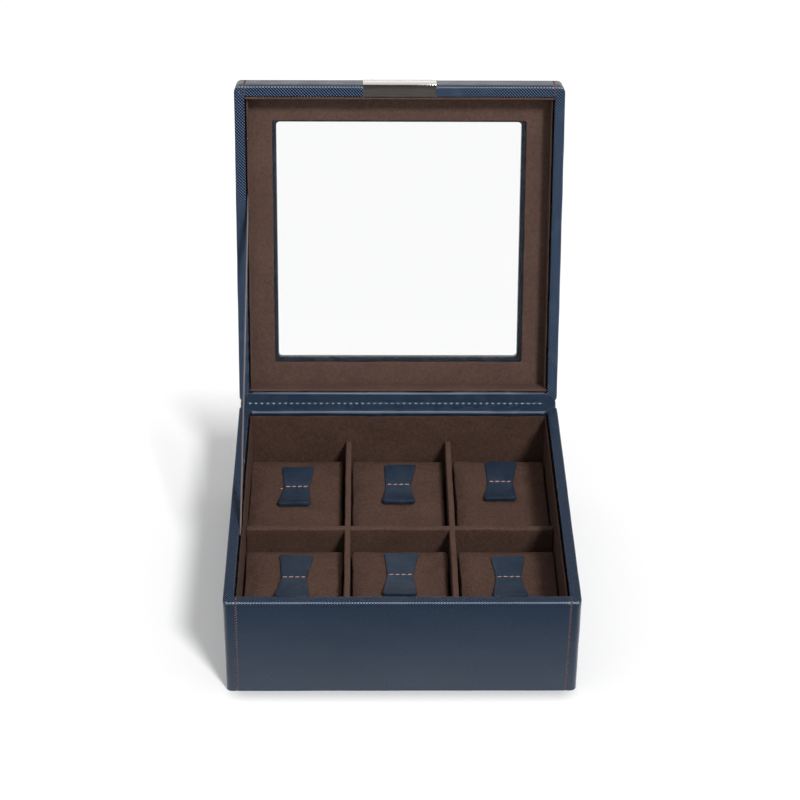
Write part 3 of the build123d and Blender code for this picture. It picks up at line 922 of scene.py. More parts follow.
def texture_square(start: float, end: float, low: float, high: float) -> list[tuple[float, float]]:
    """Texture places of one face of a loft, from its runs along and across."""
    return [(start, low), (end, low), (end, high), (start, high)]


def quarter_turned(x: np.ndarray, y: np.ndarray, z: np.ndarray, quarter: int) -> np.ndarray:
    """Rows of X, Y and Z after so many quarter turns about the box's middle."""
    c, s = [(1, 0), (0, 1), (-1, 0), (0, -1)][quarter]
    return np.column_stack([c * x - s * y, s * x + c * y, z])


def tube(path: np.ndarray, radius: float, across: Sequence[float], sides: int = 7) -> Skin:
    """Round thread along a line, with rounded ends.

    Args:
        path: Points of the line.
        radius: Radius of the thread.
        across: A direction that is never along the line.
        sides: Points round the thread.

    Returns:
        The skin, with texture places along and round the thread.
    """
    path = np.asarray(path, float)
    along = np.gradient(path, axis=0)
    along /= np.linalg.norm(along, axis=1, keepdims=True)
    second = np.cross(along, np.asarray(across, float))
    second /= np.linalg.norm(second, axis=1, keepdims=True)
    first = np.cross(second, along)
    caps = np.radians([80, 50, 20])
    rings, lengths = [], []
    run = np.concatenate([[0], np.cumsum(np.linalg.norm(np.diff(path, axis=0), axis=1))])
    stops = [(0, -math.sin(c), math.cos(c)) for c in caps]
    stops += [(i, 0.0, 1.0) for i in range(len(path))]
    stops += [(len(path) - 1, math.sin(c), math.cos(c)) for c in caps[::-1]]
    turn = np.linspace(0, 2 * math.pi, sides, endpoint=False)
    for i, push, share in stops:
        ring = np.outer(np.cos(turn), first[i]) + np.outer(np.sin(turn), second[i])
        rings.append(path[i] + along[i] * push * radius + ring * radius * share)
        lengths.append(run[i] + push * radius)
    skin = loft(np.array(rings))
    corners = []
    for i in range(len(rings) - 1):
        for k in range(sides):
            low, high = (step * 2 * math.pi / sides * radius for step in (k, k + 1))
            corners += texture_square(lengths[i], lengths[i + 1], low, high)
    corners += [(0.0, 0.0)] * (2 * sides)
    return Skin(skin.points, skin.faces, np.array(corners))


def dressed(
    piece: bpy.types.Object, finish: Finish, body: str | None, stands_for: Sequence[str] = ()
) -> bpy.types.Object:
    """Give a new piece its finish, its body and the CAD nodes it stands for.

    Args:
        piece: The piece, in place.
        finish: Its finish.
        body: Body it rides on, or None where it is left without one.
        stands_for: CAD nodes that it replaces.

    Returns:
        The same piece.
    """
    piece.data.materials.clear()
    piece.data.materials.append(finish.material())
    if body is not None:
        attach(piece, body)
    if stands_for:
        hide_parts(*stands_for)
    log.info("made %s with %d faces", piece.name, len(piece.data.polygons))
    return piece


def placed(skin: Skin, name: str, place: Placement, finish: Finish, *stands_for: str) -> None:
    """Build a skin and dress it as a piece that rides on the body of its place.

    Args:
        skin: The skin, for the shut box.
        name: Name of the piece.
        finish: Its finish.
        *stands_for: CAD nodes that it replaces.
    """
    dressed(skin.build(name, place), finish, place.body, stands_for)


def redressed(node: str, finish: Finish) -> None:
    """Give a CAD node that stays in sight or inside the walls a better material.

    Args:
        node: Name of the node.
        finish: Its finish.
    """
    piece = frame["nodes"][node]
    piece.data.materials.clear()
    piece.data.materials.append(finish.material())
    log.info("dressed %s", node)


class Wobble:
    """Smooth unevenness of hand-laid material, the same on every run."""

    def __init__(self, seed: int, longest: float, shortest: float) -> None:
        """Choose the waves.

        Args:
            seed: Seed of this surface.
            longest: Longest wave in metres.
            shortest: Shortest wave in metres.
        """
        chance = np.random.default_rng(seed)
        length = np.exp(chance.uniform(math.log(shortest), math.log(longest), 7))
        angle = chance.uniform(0, 2 * math.pi, 7)
        self.waves = 2 * math.pi / length[:, None] * np.stack([np.cos(angle), np.sin(angle)], 1)
        self.phases = chance.uniform(0, 2 * math.pi, 7)

    def at(self, first: np.ndarray, second: np.ndarray | float = 0.0) -> np.ndarray:
        """Height from 0 to 1 at places given by two coordinates."""
        first, second = np.broadcast_arrays(np.asarray(first, float), np.asarray(second, float))
        total = sum(np.sin(w[0] * first + w[1] * second + p) for w, p in zip(self.waves, self.phases))
        return np.clip(0.5 + total / 7, 0, 1)


# Leather over the walls


@dataclass(frozen=True)
class Section:
    """Line that leather follows across a wall.

    Attributes:
        inset: How far each point lies in from the outer face.
        drop: How far it lies from the rim.
        face_in: Share of its outward facing that points inwards.
        face_down: Share of its outward facing that points away from the rim.
    """

    inset: np.ndarray
    drop: np.ndarray
    face_in: np.ndarray
    face_down: np.ndarray

    @staticmethod
    def over_wall(depth: float) -> "Section":
        """Section up the outer face of a wall, over its rim and down inside.

        Args:
            depth: Height of the outer face.

        Returns:
            The section as a closed line.
        """
        outer, inner = 1.05 * MM, 0.9 * MM
        rows = [(0.0, h, -1.0, 0.0) for h in np.linspace(depth, outer, max(4, round(depth / (4 * MM))))]
        bend = [(math.sin(a), math.cos(a)) for a in np.radians([18, 36, 54, 72, 90])]
        rows += [(outer * (1 - c), outer * (1 - s), -c, -s) for s, c in bend]
        rows += [(o, 0.0, 0.0, -1.0) for o in np.linspace(outer, WALL - inner, 7)[1:]]
        rows += [(WALL - inner * (1 - s), inner * (1 - c), s, -c) for s, c in bend]
        rows += [(WALL, h, 1.0, 0.0) for h in np.linspace(inner, TURN_IN, 4)[1:]]
        rows += [(WALL - SKIN, TURN_IN, 0, 0), (WALL - SKIN, SKIN, 0, 0)]
        rows += [(SKIN, SKIN, 0, 0), (SKIN, depth, 0, 0)]
        return Section(*[np.array(column, float) for column in zip(*rows)])

    @staticmethod
    def up_face(depth: float) -> "Section":
        """Section of a plain face that ends under the hinge leather.

        Args:
            depth: Height of the outer face.

        Returns:
            The section as a closed line.
        """
        edge = 0.3 * MM
        heights = np.linspace(depth, SKIN + edge, max(4, round(depth / (4 * MM))))
        rows = [(0.0, h, -1.0, 0.0) for h in heights]
        rows += [(edge * 0.3, SKIN + edge * 0.3, -0.7, -0.7)]
        rows += [(edge, SKIN, 0.0, 0.0), (SKIN, SKIN, 0.0, 0.0), (SKIN, depth, 0.0, 0.0)]
        return Section(*[np.array(column, float) for column in zip(*rows)])

    def lengths(self) -> np.ndarray:
        """Length along the line up to each point."""
        steps = np.hypot(np.diff(self.inset), np.diff(self.drop))
        return np.concatenate([[0], np.cumsum(steps)])


@dataclass(frozen=True)
class Station:
    """One place along a cover: its plan, its length along it, and how far the leather is pressed in."""

    plan: Plan
    along: float
    pressed: float = 0.0
    pressed_rim: float = 0.0


@dataclass
class CaseLeather:
    """Leather over the walls of the base or the lid, in four covers, with its corner seams.

    Attributes:
        name: First word of the pieces' names.
        rim: Height of the rim with the box shut.
        downward: 1 where the walls go down from the rim, -1 where they go up.
        depth: Height of the walls.
        seed: Seed of all unevenness.
        front_seams: For each side, how far from the middle its front seam lies at the rim and at
            the far edge, and its slant. Otherwise seam and seam_slant hold.
        catch_half: Half the width of the catch, under which the leather is pressed in.
        seam: How far from the middle a seam lies.
        seam_slant: How much nearer to the middle a seam lies inside than outside.
        column: Longest distance between two places along a cover.
        uneven: How far the leather stands in at most.
    """

    name: str
    place: Placement
    finish: Finish
    rim: float
    downward: int
    depth: float
    seed: int
    front_seams: dict[Side, tuple[float, float, float]] | None = None
    catch_half: float | None = None
    seam: float = 103.6 * MM
    seam_slant: float = 1.0 * MM
    column: float = 3.6 * MM
    uneven: float = 0.16 * MM

    @property
    def section(self) -> Section:
        """Line over the rim."""
        return Section.over_wall(self.depth)

    @property
    def end_length(self) -> float:
        """Length of the short run between a corner and its seam."""
        return abs(self.seam - (HALF - CORNER))

    def corner_radius(self, inset: np.ndarray) -> np.ndarray:
        """Radius of the corner at each inset."""
        return np.maximum(CORNER - inset, 0.3 * MM)

    def seam_at(self, inset: np.ndarray, drop: np.ndarray, side: Side, back: bool = False) -> np.ndarray:
        """How far from the middle a corner seam lies.

        Args:
            inset: Insets from the outer face.
            drop: Drops from the rim.
            side: Left or right of the box.
            back: Whether it is a back seam.

        Returns:
            Its distance at each point.
        """
        rim, far, slant = self.seam, self.seam, self.seam_slant
        if self.front_seams is not None and not back:
            rim, far, slant = self.front_seams[side]
        at_drop = rim + (far - rim) * np.clip(drop / self.depth, 0, 1)
        return at_drop - slant * np.clip(inset / WALL, 0, 1)

    def height(self, drop: np.ndarray) -> np.ndarray:
        """Height of a point that lies so far from the rim."""
        return self.rim - self.downward * drop

    def rings(self, section: Section, stations: Sequence[Station], seed: int) -> np.ndarray:
        """Points of a cover.

        Args:
            section: Line across the wall.
            stations: Places along the cover.
            seed: Seed of its unevenness.

        Returns:
            One ring of points for each station.
        """
        wobble = Wobble(seed, 90 * MM, 22 * MM)
        visible = np.hypot(section.face_in, section.face_down)
        on_rim = np.clip(-section.face_down, 0, 1)
        rings = []
        for station in stations:
            uneven = self.uneven * wobble.at(station.along, section.lengths()) * visible
            press = uneven + (station.pressed * visible + station.pressed_rim * on_rim)
            inset = section.inset - section.face_in * press
            drop = section.drop - section.face_down * press
            plan = station.plan(inset, drop)
            rings.append(np.column_stack([plan, self.height(drop)]))
        return np.array(rings)

    def corner(self, angle: float, back: bool) -> Plan:
        """Plan of a place round a left corner.

        Args:
            angle: Degrees from facing front or back towards facing left.
            back: Whether it is the back corner.

        Returns:
            Function from insets and drops to X and Y.
        """
        a = math.radians(angle)

        def plan(inset: np.ndarray, _: np.ndarray) -> np.ndarray:
            """X and Y of each point."""
            r = self.corner_radius(inset)
            c = HALF - inset - r
            y = c + r * math.cos(a)
            return np.column_stack([-(c + r * math.sin(a)), y if back else -y])

        return plan

    def end_run(self, share: float, side: Side, back: bool) -> Plan:
        """Plan of a place between a left corner and its seam.

        Args:
            share: 0 at the seam, 1 where the corner starts.
            side: Side whose seam it is. The right cover is built as a left one and mirrored.
            back: Whether it is the back corner.

        Returns:
            Function from insets and drops to X and Y.
        """

        def plan(inset: np.ndarray, drop: np.ndarray) -> np.ndarray:
            """X and Y of each point."""
            start = HALF - inset - self.corner_radius(inset)
            x = -(self.seam_at(inset, drop, side, back) * (1 - share) + start * share)
            y = HALF - inset
            return np.column_stack([x, y if back else -y])

        return plan

    def straight(self, y: float) -> Plan:
        """Plan of a place along the left wall."""
        return lambda inset, _: np.column_stack([inset - HALF, np.full(len(inset), y)])

    def across(self, x: float) -> Plan:
        """Plan of a place along the front wall."""
        return lambda inset, _: np.column_stack([np.full(len(inset), x), inset - HALF])

    def seam_press(self, distance: float) -> float:
        """How far the leather rolls in at this distance from a seam."""
        return 0.42 * MM * max(0.0, 1 - distance / (0.95 * MM)) ** 2

    def side_stations(self, side: Side) -> list[Station]:
        """Places of a side cover from the front seam to the back mitre, all built on the left."""
        stations = []
        for share in (0.0, 0.1, 0.2, 0.3, 0.45, 0.7):
            run = share * self.end_length
            stations.append(Station(self.end_run(share, side, False), run, self.seam_press(run)))
        turns = [(angle, 0.0) for angle in (0, 12, 24, 36, 42, 45)]
        turns += [(48, 0.3), (56, 0.26), (66, 0.2), (78, 0.14), (90, 0.1)]
        for angle, press in turns:
            arc = self.end_length + math.radians(angle) * CORNER
            stations.append(Station(self.corner(angle, False), arc, 0.0, press * MM))
        start = self.end_length + math.radians(90) * CORNER
        reach = HALF - WALL - 0.6 * MM
        for i, y in enumerate(np.linspace(-reach, reach, round(2 * reach / self.column) + 1)):
            press = max(0.0, 0.1 - 0.05 * i)
            stations.append(Station(self.straight(float(y)), start + y + HALF, 0.0, press * MM))
        for angle, press in ((90, 0.0), (78, 0.05), (66, 0.12), (56, 0.22), (49, 0.34), (45.5, 0.5)):
            arc = start + 2 * HALF + math.radians(90 - angle) * CORNER
            stations.append(Station(self.corner(angle, True), arc, 0.0, press * MM))
        return stations

    def return_stations(self) -> list[Station]:
        """Places of a side cover past the mitre, round to the back seam, all built on the left."""
        along = 0.3  # an unevenness of its own, away from the other places
        stations = []
        for angle in (45.5, 36, 24, 12, 0):
            stations.append(Station(self.corner(angle, True), along + angle * 1e-4))
        for share in (0.7, 0.45, 0.3, 0.2, 0.1, 0.0):
            press = self.seam_press(share * self.end_length)
            stations.append(Station(self.end_run(share, Side.LEFT, True), along, press))
        return stations

    def front_stations(self) -> list[Station]:
        """Places of the front cover, between its two seams."""
        reach = 100.2 * MM
        marks = set(np.round(np.linspace(-reach, reach, round(2 * reach / self.column) + 1), 6))
        if self.catch_half is not None:
            for sign in (-1, 1):
                marks |= {sign * (self.catch_half + d * MM) for d in (-1.0, -0.25, 0.1, 0.6)}
        middle = []
        for x in sorted(marks):
            under = self.catch_half is not None and abs(x) < self.catch_half
            middle.append(Station(self.across(float(x)), float(x), 0.55 * MM if under else 0.0))
        left, right = (self.front_end(side) for side in Side)
        return left + middle + right[::-1]

    def front_end(self, side: Side) -> list[Station]:
        """Places of the front cover beside one seam, from the seam on."""
        stations = []
        for distance in (0.0, 0.2 * MM, 0.4 * MM, 0.65 * MM, 1.0 * MM):
            along = side.value * (self.seam - distance)
            press = self.seam_press(distance)
            stations.append(Station(self.beside_seam(side, distance), along, press))
        return stations

    def beside_seam(self, side: Side, distance: float) -> Plan:
        """Plan of a place on the front cover at a distance from a seam."""
        return lambda inset, drop: np.column_stack(
            [side.value * (self.seam_at(inset, drop, side) - distance), inset - HALF]
        )

    def put_cover(self, skin: Skin, word: str) -> None:
        """Build and dress the cover of one wall."""
        placed(skin, f"{self.name}_leather_{word}", self.place, self.finish, f"{self.name}_cover_{word}")

    def make_side(self, side: Side) -> None:
        """Make the left or right cover."""
        face = Section.up_face(self.depth)
        seed = self.seed + (10 if side is Side.RIGHT else 20)
        over_rim = self.rings(self.section, self.side_stations(side), seed)
        behind = self.rings(face, self.return_stations(), seed)
        skin = merged([loft(over_rim), loft(behind)])
        if side is Side.RIGHT:
            skin = skin.mirrored()
        self.put_cover(skin, side.name.lower())

    def make_front(self) -> None:
        """Make the front cover."""
        skin = loft(self.rings(self.section, self.front_stations(), self.seed + 30))
        self.put_cover(skin, "front")

    def make_back(self) -> None:
        """Make the back cover, which ends under the hinge leather."""
        gap = 0.1 * MM
        ends = self.height(SKIN), self.height(self.depth)
        low = (gap - self.seam, HALF - SKIN, min(ends))
        high = (self.seam - gap, HALF, max(ends))
        skin = rounded_block(low, high, 0.35 * MM, 5 * MM)
        wobble = Wobble(self.seed + 40, 90 * MM, 25 * MM)
        outer = skin.points[:, 1] > HALF - 0.1 * MM
        skin.points[:, 1] -= 0.15 * MM * wobble.at(skin.points[:, 0], skin.points[:, 2]) * outer
        self.put_cover(skin, "back")

    def make_seam(self, side: Side, back: bool) -> None:
        """Sew one corner seam with slanting stitches over the join.

        Args:
            side: Left or right of the box.
            back: Whether it is a back seam, which stops under the hinge leather.
        """
        line = self.section
        length = line.lengths()
        past_end = line.drop <= 13 * MM if back else line.inset >= WALL - 1e-6
        end = length[int(np.argmax(past_end))]
        chance = np.random.default_rng(self.seed + side.value + 5)
        pitch, run, reach, radius, sunk = 2.1 * MM, 1.2 * MM, 0.5 * MM, 0.28 * MM, 0.16 * MM
        start, spare = 1.4 * MM, 1.6 * MM
        stitches = []
        while start + spare < end:
            tilt = chance.uniform(0.85, 1.15)
            points = []
            for share in (-1.0, -0.75, -0.3, 0.3, 0.75, 1.0):
                at = start + (share + 1) / 2 * run * tilt
                inset, drop, face_in, face_down = (
                    np.interp(at, length, values)
                    for values in (line.inset, line.drop, line.face_in, line.face_down)
                )
                away = abs(share)
                depth = sunk + 0.5 * MM * max(0.0, away - 0.7) - 0.06 * MM * (1 - away)
                inset, drop = inset - face_in * depth, drop - face_down * depth
                middle = float(self.seam_at(inset, drop, side, back))
                x = side.value * (middle - share * reach * chance.uniform(0.92, 1.08))
                points.append((x, (HALF - inset) * (1 if back else -1), float(self.height(drop))))
            stitches.append(tube(np.array(points), radius, (0.31, 0.17, 0.93)))
            start += pitch * chance.uniform(0.94, 1.06)
        word = f"{self.name}_seam_{'back' if back else 'front'}_{side.name.lower()}"
        placed(merged(stitches), word, self.place, SEAM_THREAD)

    def make(self) -> None:
        """Make all four covers and the four corner seams."""
        self.make_front()
        self.make_back()
        for side in Side:
            self.make_side(side)
            for back in (False, True):
                self.make_seam(side, back)


@dataclass
class Ring:
    """Square frame with round corners, swept from a section of half sizes and heights."""

    sizes: np.ndarray
    heights: np.ndarray
    radii: np.ndarray
    spacing: float = 5 * MM

    def skin(self) -> Skin:
        """Closed skin all round the frame."""
        rings = []
        core = self.sizes - self.radii
        shares = np.linspace(-1, 1, max(3, round(2 * float(core.max()) / self.spacing)) + 1)
        for quarter in range(4):
            for share in shares:
                rings.append(quarter_turned(self.sizes, share * core, self.heights, quarter))
            for angle in np.radians([18, 36, 54, 72]):
                x, y = core + self.radii * math.cos(angle), core + self.radii * math.sin(angle)
                rings.append(quarter_turned(x, y, self.heights, quarter))
        return loft(np.array(rings), loop=True)


@dataclass
class LidTop:
    """Leather over the top of the lid, turned down round the window to the glass.

    Attributes:
        window: Half the size of the window.
        window_x: How far its edge is shifted.
        window_radius: Radius of its corners.
        flange: Half the size of the flange on the glass.
        top: Height of the top.
        glass: Height of the glass.
        edge: Radius of both edges of the top.
    """

    place: Placement
    window: float = 82.8 * MM
    window_x: float = -0.25 * MM
    window_radius: float = 2.5 * MM
    flange: float = 86.8 * MM
    top: float = 95.3 * MM
    glass: float = 89.8 * MM
    edge: float = 0.95 * MM

    def outline(self) -> tuple[np.ndarray, np.ndarray]:
        """Half sizes and heights of the cover's section."""
        edge, seat = self.edge, self.glass - 0.03 * MM
        under = self.top - SKIN
        bend = [(math.sin(a), math.cos(a)) for a in np.radians([22.5, 45, 67.5, 90])]
        rows = [(HALF, under - 0.05 * MM)]
        rows += [(HALF - edge + edge * c, self.top - edge + edge * s) for s, c in bend]
        rows += [(o, self.top) for o in np.linspace(HALF - edge, self.window + edge, 8)[1:]]
        rows += [(self.window + edge - edge * s, self.top - edge + edge * c) for s, c in bend]
        rows += [(self.window, z) for z in np.linspace(self.top - edge, seat + 0.35 * MM, 3)[1:]]
        rows += [(self.window + 0.1 * MM, seat + 0.1 * MM), (self.window + 0.35 * MM, seat)]
        rows += [(self.flange, seat), (self.flange, seat + 0.6 * MM)]
        rows += [(self.window + SKIN, seat + 0.6 * MM), (self.window + SKIN, under)]
        rows += [(HALF - SKIN, under - 0.05 * MM)]
        sizes, heights = (np.array(column) for column in zip(*rows))
        return sizes, heights

    def make(self) -> None:
        """Make the cover."""
        sizes, heights = self.outline()
        share = (HALF - sizes) / (HALF - self.window)
        radii = CORNER + (self.window_radius - CORNER) * np.clip(share, 0, 1)
        skin = Ring(sizes, heights, radii).skin()
        wobble = Wobble(61, 80 * MM, 25 * MM)
        flat = skin.points[:, 2] > self.top - 0.05 * MM
        skin.points[:, 2] -= 0.2 * MM * wobble.at(skin.points[:, 0], skin.points[:, 1]) * flat
        near = np.abs(skin.points[:, :2]).max(1) < self.flange + 0.1 * MM
        skin.points[:, 0] += self.window_x * near
        placed(skin, "lid_leather_top", self.place, LID_LEATHER, "lid_cover_top")


@dataclass
class HingeLeather:
    """Leather gusset inside the hinge and leather strap outside it, both sewn.

    Attributes:
        fold_inset: How far in from the outer faces the gusset leaves the rims.
        strap_leg: How far the strap reaches past each rim.
        strap_half: Half its length.
        stitch_pitch: Distance between two stitches.
        start: Where the bend from base to lid starts. Not used.
        end: Where it ends. Not used.
    """

    base: Placement
    lid: Placement
    fold_inset: float = 1.2 * MM
    strap_leg: float = 12 * MM
    strap_half: float = 103 * MM
    stitch_pitch: float = 4.1 * MM
    start: tuple[float, float, float] = (0.0, 109.4 * MM, 70.0 * MM)
    end: tuple[float, float, float] = (0.0, 111.3 * MM, 71.9 * MM)

    def flat(self, place: Placement, y: float, z: float) -> np.ndarray:
        """Y and Z at rest of a point of the shut box."""
        return place.to_scene(np.array([[0.0, y, z]]))[0, 1:]

    def curve(self, first: np.ndarray, bend: np.ndarray, last: np.ndarray, count: int) -> np.ndarray:
        """Points of a quadratic curve, without its ends."""
        t = np.linspace(0, 1, count + 2)[1:-1, None]
        return first * (1 - t) ** 2 + 2 * bend * t * (1 - t) + last * t**2

    def over_rim(self, inner: float, swell: float) -> list[tuple[float, float]]:
        """Line of the gusset up the inner face of a back wall and over its rim.

        Args:
            inner: Radius of the inner edge.
            swell: How far the leather stands in from the wall at that edge.

        Returns:
            Y and drop from the rim of each point.
        """
        face = HALF - WALL
        line = [(face, TURN_IN), (face, 6 * MM)]
        line += [(face - swell * 0.15, 3.4 * MM), (face - swell * 0.8, 2.3 * MM)]
        centre = face - swell + inner
        for a in np.radians([0, 20, 40, 60, 75]):
            line.append((centre - inner * math.cos(a), inner * (1 - math.sin(a))))
        return line + [(HALF - o, 0.0) for o in np.linspace(HALF - centre, self.fold_inset, 5)]

    def gusset_path(self) -> tuple[np.ndarray, np.ndarray]:
        """Line over both rims and how far in from the outer face each point lies.

        Returns:
            Rows of Y and Z at rest, and the insets.
        """
        base, lid = self.over_rim(1.1 * MM, 1.1 * MM), self.over_rim(1.8 * MM, 0.0)
        lower = [self.flat(self.base, y, BASE_RIM - d) for y, d in base]
        upper = [self.flat(self.lid, y, LID_RIM + d) for y, d in lid]
        bend = np.array([HALF + 0.55 * MM, BASE_RIM + 0.15 * MM])
        down, up = np.array([[0.35], [0.7], [0.94]]), np.array([[0.06], [0.3], [0.65]])
        before, after = lower[-1] + (bend - lower[-1]) * down, bend + (upper[-1] - bend) * up
        path = np.array([*lower, *before, bend, *after, *upper[::-1]])
        fold = self.fold_inset * (1 - np.sin(np.linspace(0.4, math.pi - 0.4, len(down) + 1 + len(up))))
        sides = [HALF - np.array(line)[:, 0] for line in (base, lid)]
        insets = np.concatenate([sides[0], fold, sides[1][::-1]])
        return path, insets

    def thick(self, path: np.ndarray) -> np.ndarray:
        """Closed outline of a bent strip: the path and its back, one leather thickness behind."""
        along = np.gradient(path, axis=0)
        along /= np.linalg.norm(along, axis=1, keepdims=True)
        behind = path + np.column_stack([along[:, 1], -along[:, 0]]) * SKIN
        return np.concatenate([path, behind[::-1]])

    def reach(self, insets: np.ndarray) -> np.ndarray:
        """How far sideways the gusset goes at each inset: to the mitre, or to the round corner."""
        meets = CORNER * (1 - math.sqrt(0.5))
        drawn_in = 0.3 * MM * np.clip(1 - insets / meets, 0, 1)
        return HALF - np.maximum(insets, 0.5 * MM) - 0.12 * MM - drawn_in

    def make_gusset(self) -> None:
        """Make the gusset."""
        path, insets = self.gusset_path()
        outline = self.thick(path)
        reach = self.reach(np.concatenate([insets, insets[::-1]]))
        shares = np.concatenate([[-1, -0.998, -0.99], np.linspace(-0.97, 0.97, 55), [0.99, 0.998, 1]])
        wobble = Wobble(71, 60 * MM, 18 * MM)
        rings = []
        count = len(path)
        inward = outline[::-1][:count] - outline[:count]
        for share in shares:
            x = share * reach
            points = outline.copy()
            points[:count] += inward * 0.22 * wobble.at(x[:count], np.arange(count) * 0.9 * MM)[:, None]
            if abs(share) > 0.995:
                points[:count] += inward * (0.1 if abs(share) < 0.999 else 0.3)
            rings.append(np.column_stack([x, points]))
        piece = loft(np.array(rings)).build("hinge_leather_gusset", self.base)
        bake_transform(dressed(piece, HINGE_LEATHER, None, ["hinge_gusset"]))

    def strap_path(self) -> np.ndarray:
        """Line of the strap's glued side, as rows of Y and Z at rest."""
        base_leg = np.linspace(BASE_RIM - self.strap_leg, BASE_RIM - 2.2 * MM, 4)
        lid_leg = np.linspace(LID_RIM + self.strap_leg, LID_RIM + 1.6 * MM, 4)
        lower = [self.flat(self.base, HALF, z) for z in base_leg]
        upper = [self.flat(self.lid, HALF, z) for z in lid_leg]
        bend = np.array([HALF + 0.15 * MM, BASE_RIM + 0.7 * MM])
        return np.array([*lower, *self.curve(lower[-1], bend, upper[-1], 7), *upper[::-1]])

    def make_strap(self) -> None:
        """Make the strap outside the back."""
        path = self.strap_path()
        outline = self.thick(path)
        count = len(path)
        outline[count - 1 : count + 1] += (outline[count - 2] - outline[count - 1]) * 0.04
        ends = [(-1, 0.55), (-0.9985, 0.9)]
        middle = [(x, 1.0) for x in np.linspace(-0.994, 0.994, 53)]
        rings = []
        for x, share in [*ends, *middle, *[(-x, share) for x, share in ends[::-1]]]:
            points = outline.copy()
            points[count:] = outline[:count][::-1] + (outline[count:] - outline[:count][::-1]) * share
            rings.append(np.column_stack([np.full(2 * count, x * self.strap_half), points]))
        piece = loft(np.array(rings)).build("hinge_leather_strap", self.base)
        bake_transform(dressed(piece, HINGE_LEATHER, None, ["hinge_strap"]))

    def normal(self, path: np.ndarray, at: int) -> np.ndarray:
        """Direction square to a line at one of its points, to the left of its run."""
        slope = path[at + 1] - path[at - 1]
        return np.array([-slope[1], slope[0]]) / np.linalg.norm(slope)

    def make_stitches(self) -> None:
        """Sew one row just above the fold, seen inside and outside."""
        path, _ = self.gusset_path()
        fold = np.array([HALF + 0.9 * MM, BASE_RIM + 1.25 * MM])
        inside = int(np.argmin(np.linalg.norm(path - fold, axis=1)))
        strap = self.thick(self.strap_path())
        back = strap[len(strap) // 2 :][::-1]
        outside = 11
        rows = {
            "inside": (path[inside], self.normal(path, inside)),
            "outside": (back[outside], -self.normal(back, outside)),
        }
        for word, (spot, normal) in rows.items():
            chance = np.random.default_rng(len(word))
            stitches = []
            for middle in np.arange(-102.6 * MM, 100.6 * MM, self.stitch_pitch):
                half = 0.42 * MM * chance.uniform(0.8, 1.2)
                rise = 0.2 * MM * chance.uniform(-1, 1)
                line = []
                for share in (-1.0, -0.7, 0.0, 0.7, 1.0):
                    lift = 0.32 * MM - 0.5 * MM * max(0.0, abs(share) - 0.5)
                    y, z = spot + normal * lift
                    line.append((middle + share * half, y, z + share * rise))
                stitches.append(tube(np.array(line), 0.36 * MM, (0.1, 0.9, 0.4)))
            piece = merged(stitches).build(f"hinge_stitches_{word}", self.base)
            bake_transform(dressed(piece, HINGE_THREAD, None))

    def make(self) -> None:
        """Make the gusset, the strap and their stitches."""
        self.make_gusset()
        self.make_strap()
        self.make_stitches()


# Linings and dividers


@dataclass
class Linings:
    """Suede over board on the inner walls of the base or the lid.

    Attributes:
        name: First word of the pieces' names.
        far: Height of the edge that is out of sight, with the box shut.
        edges: Height of each wall's free edge.
        drawn_in: How far each wall's free edge stands in. Other walls' stand in by usual_draw.
        seed: Seed of all unevenness.
        wall: How far from the middle the inner walls stand.
    """

    name: str
    place: Placement
    finish: Finish
    far: float
    edges: dict[str, float]
    drawn_in: dict[str, float]
    seed: int
    usual_draw: float = 0.75 * MM
    wall: float = HALF - WALL
    thickness: float = 1.8 * MM

    def make_wall(self, word: str, quarter: int, half_length: float) -> None:
        """Make the lining of one wall.

        Args:
            word: Which wall.
            quarter: Quarter turns from the right wall.
            half_length: Half its length.
        """
        edge = self.edges[word]
        low = (self.wall - self.thickness, -half_length, min(edge, self.far))
        high = (self.wall - 0.02 * MM, half_length, max(edge, self.far))
        skin = rounded_block(low, high, 0.55 * MM, 3.2 * MM)
        points = skin.points
        wobble = Wobble(self.seed + quarter, 55 * MM, 7 * MM)
        below = np.abs(points[:, 2] - edge)
        free = np.clip(1 - below / (3.2 * MM), 0, 1)
        outward = np.clip((points[:, 0] - low[0]) / self.thickness, 0, 1)
        draw = self.drawn_in.get(word, self.usual_draw)
        points[:, 0] -= outward * free * (draw + 0.35 * MM * wobble.at(points[:, 1]))
        if word == "left":
            over_ribbon = np.exp(-(((points[:, 1] + RIBBON_Y) / (8 * MM)) ** 2))
            points[:, 0] -= free * 0.8 * MM * over_ribbon
        fades = np.clip(1 - below / (6 * MM), 0, 1)
        points[:, 2] += np.sign(self.far - edge) * fades * 0.45 * MM * wobble.at(points[:, 1], 0.02)
        points[:, 0] += (1 - outward) * 0.12 * MM * wobble.at(points[:, 1], points[:, 2])
        turned = quarter_turned(points[:, 0], points[:, 1], points[:, 2], quarter)
        name = f"{self.name}_suede_{word}"
        placed(Skin(turned, skin.faces), name, self.place, self.finish, f"{self.name}_{word}")

    def make(self) -> None:
        """Make the linings of the four walls."""
        short = self.wall - self.thickness
        for quarter, (word, half_length) in enumerate(
            (("right", short), ("back", self.wall), ("left", short), ("front", self.wall))
        ):
            self.make_wall(word, quarter, half_length)


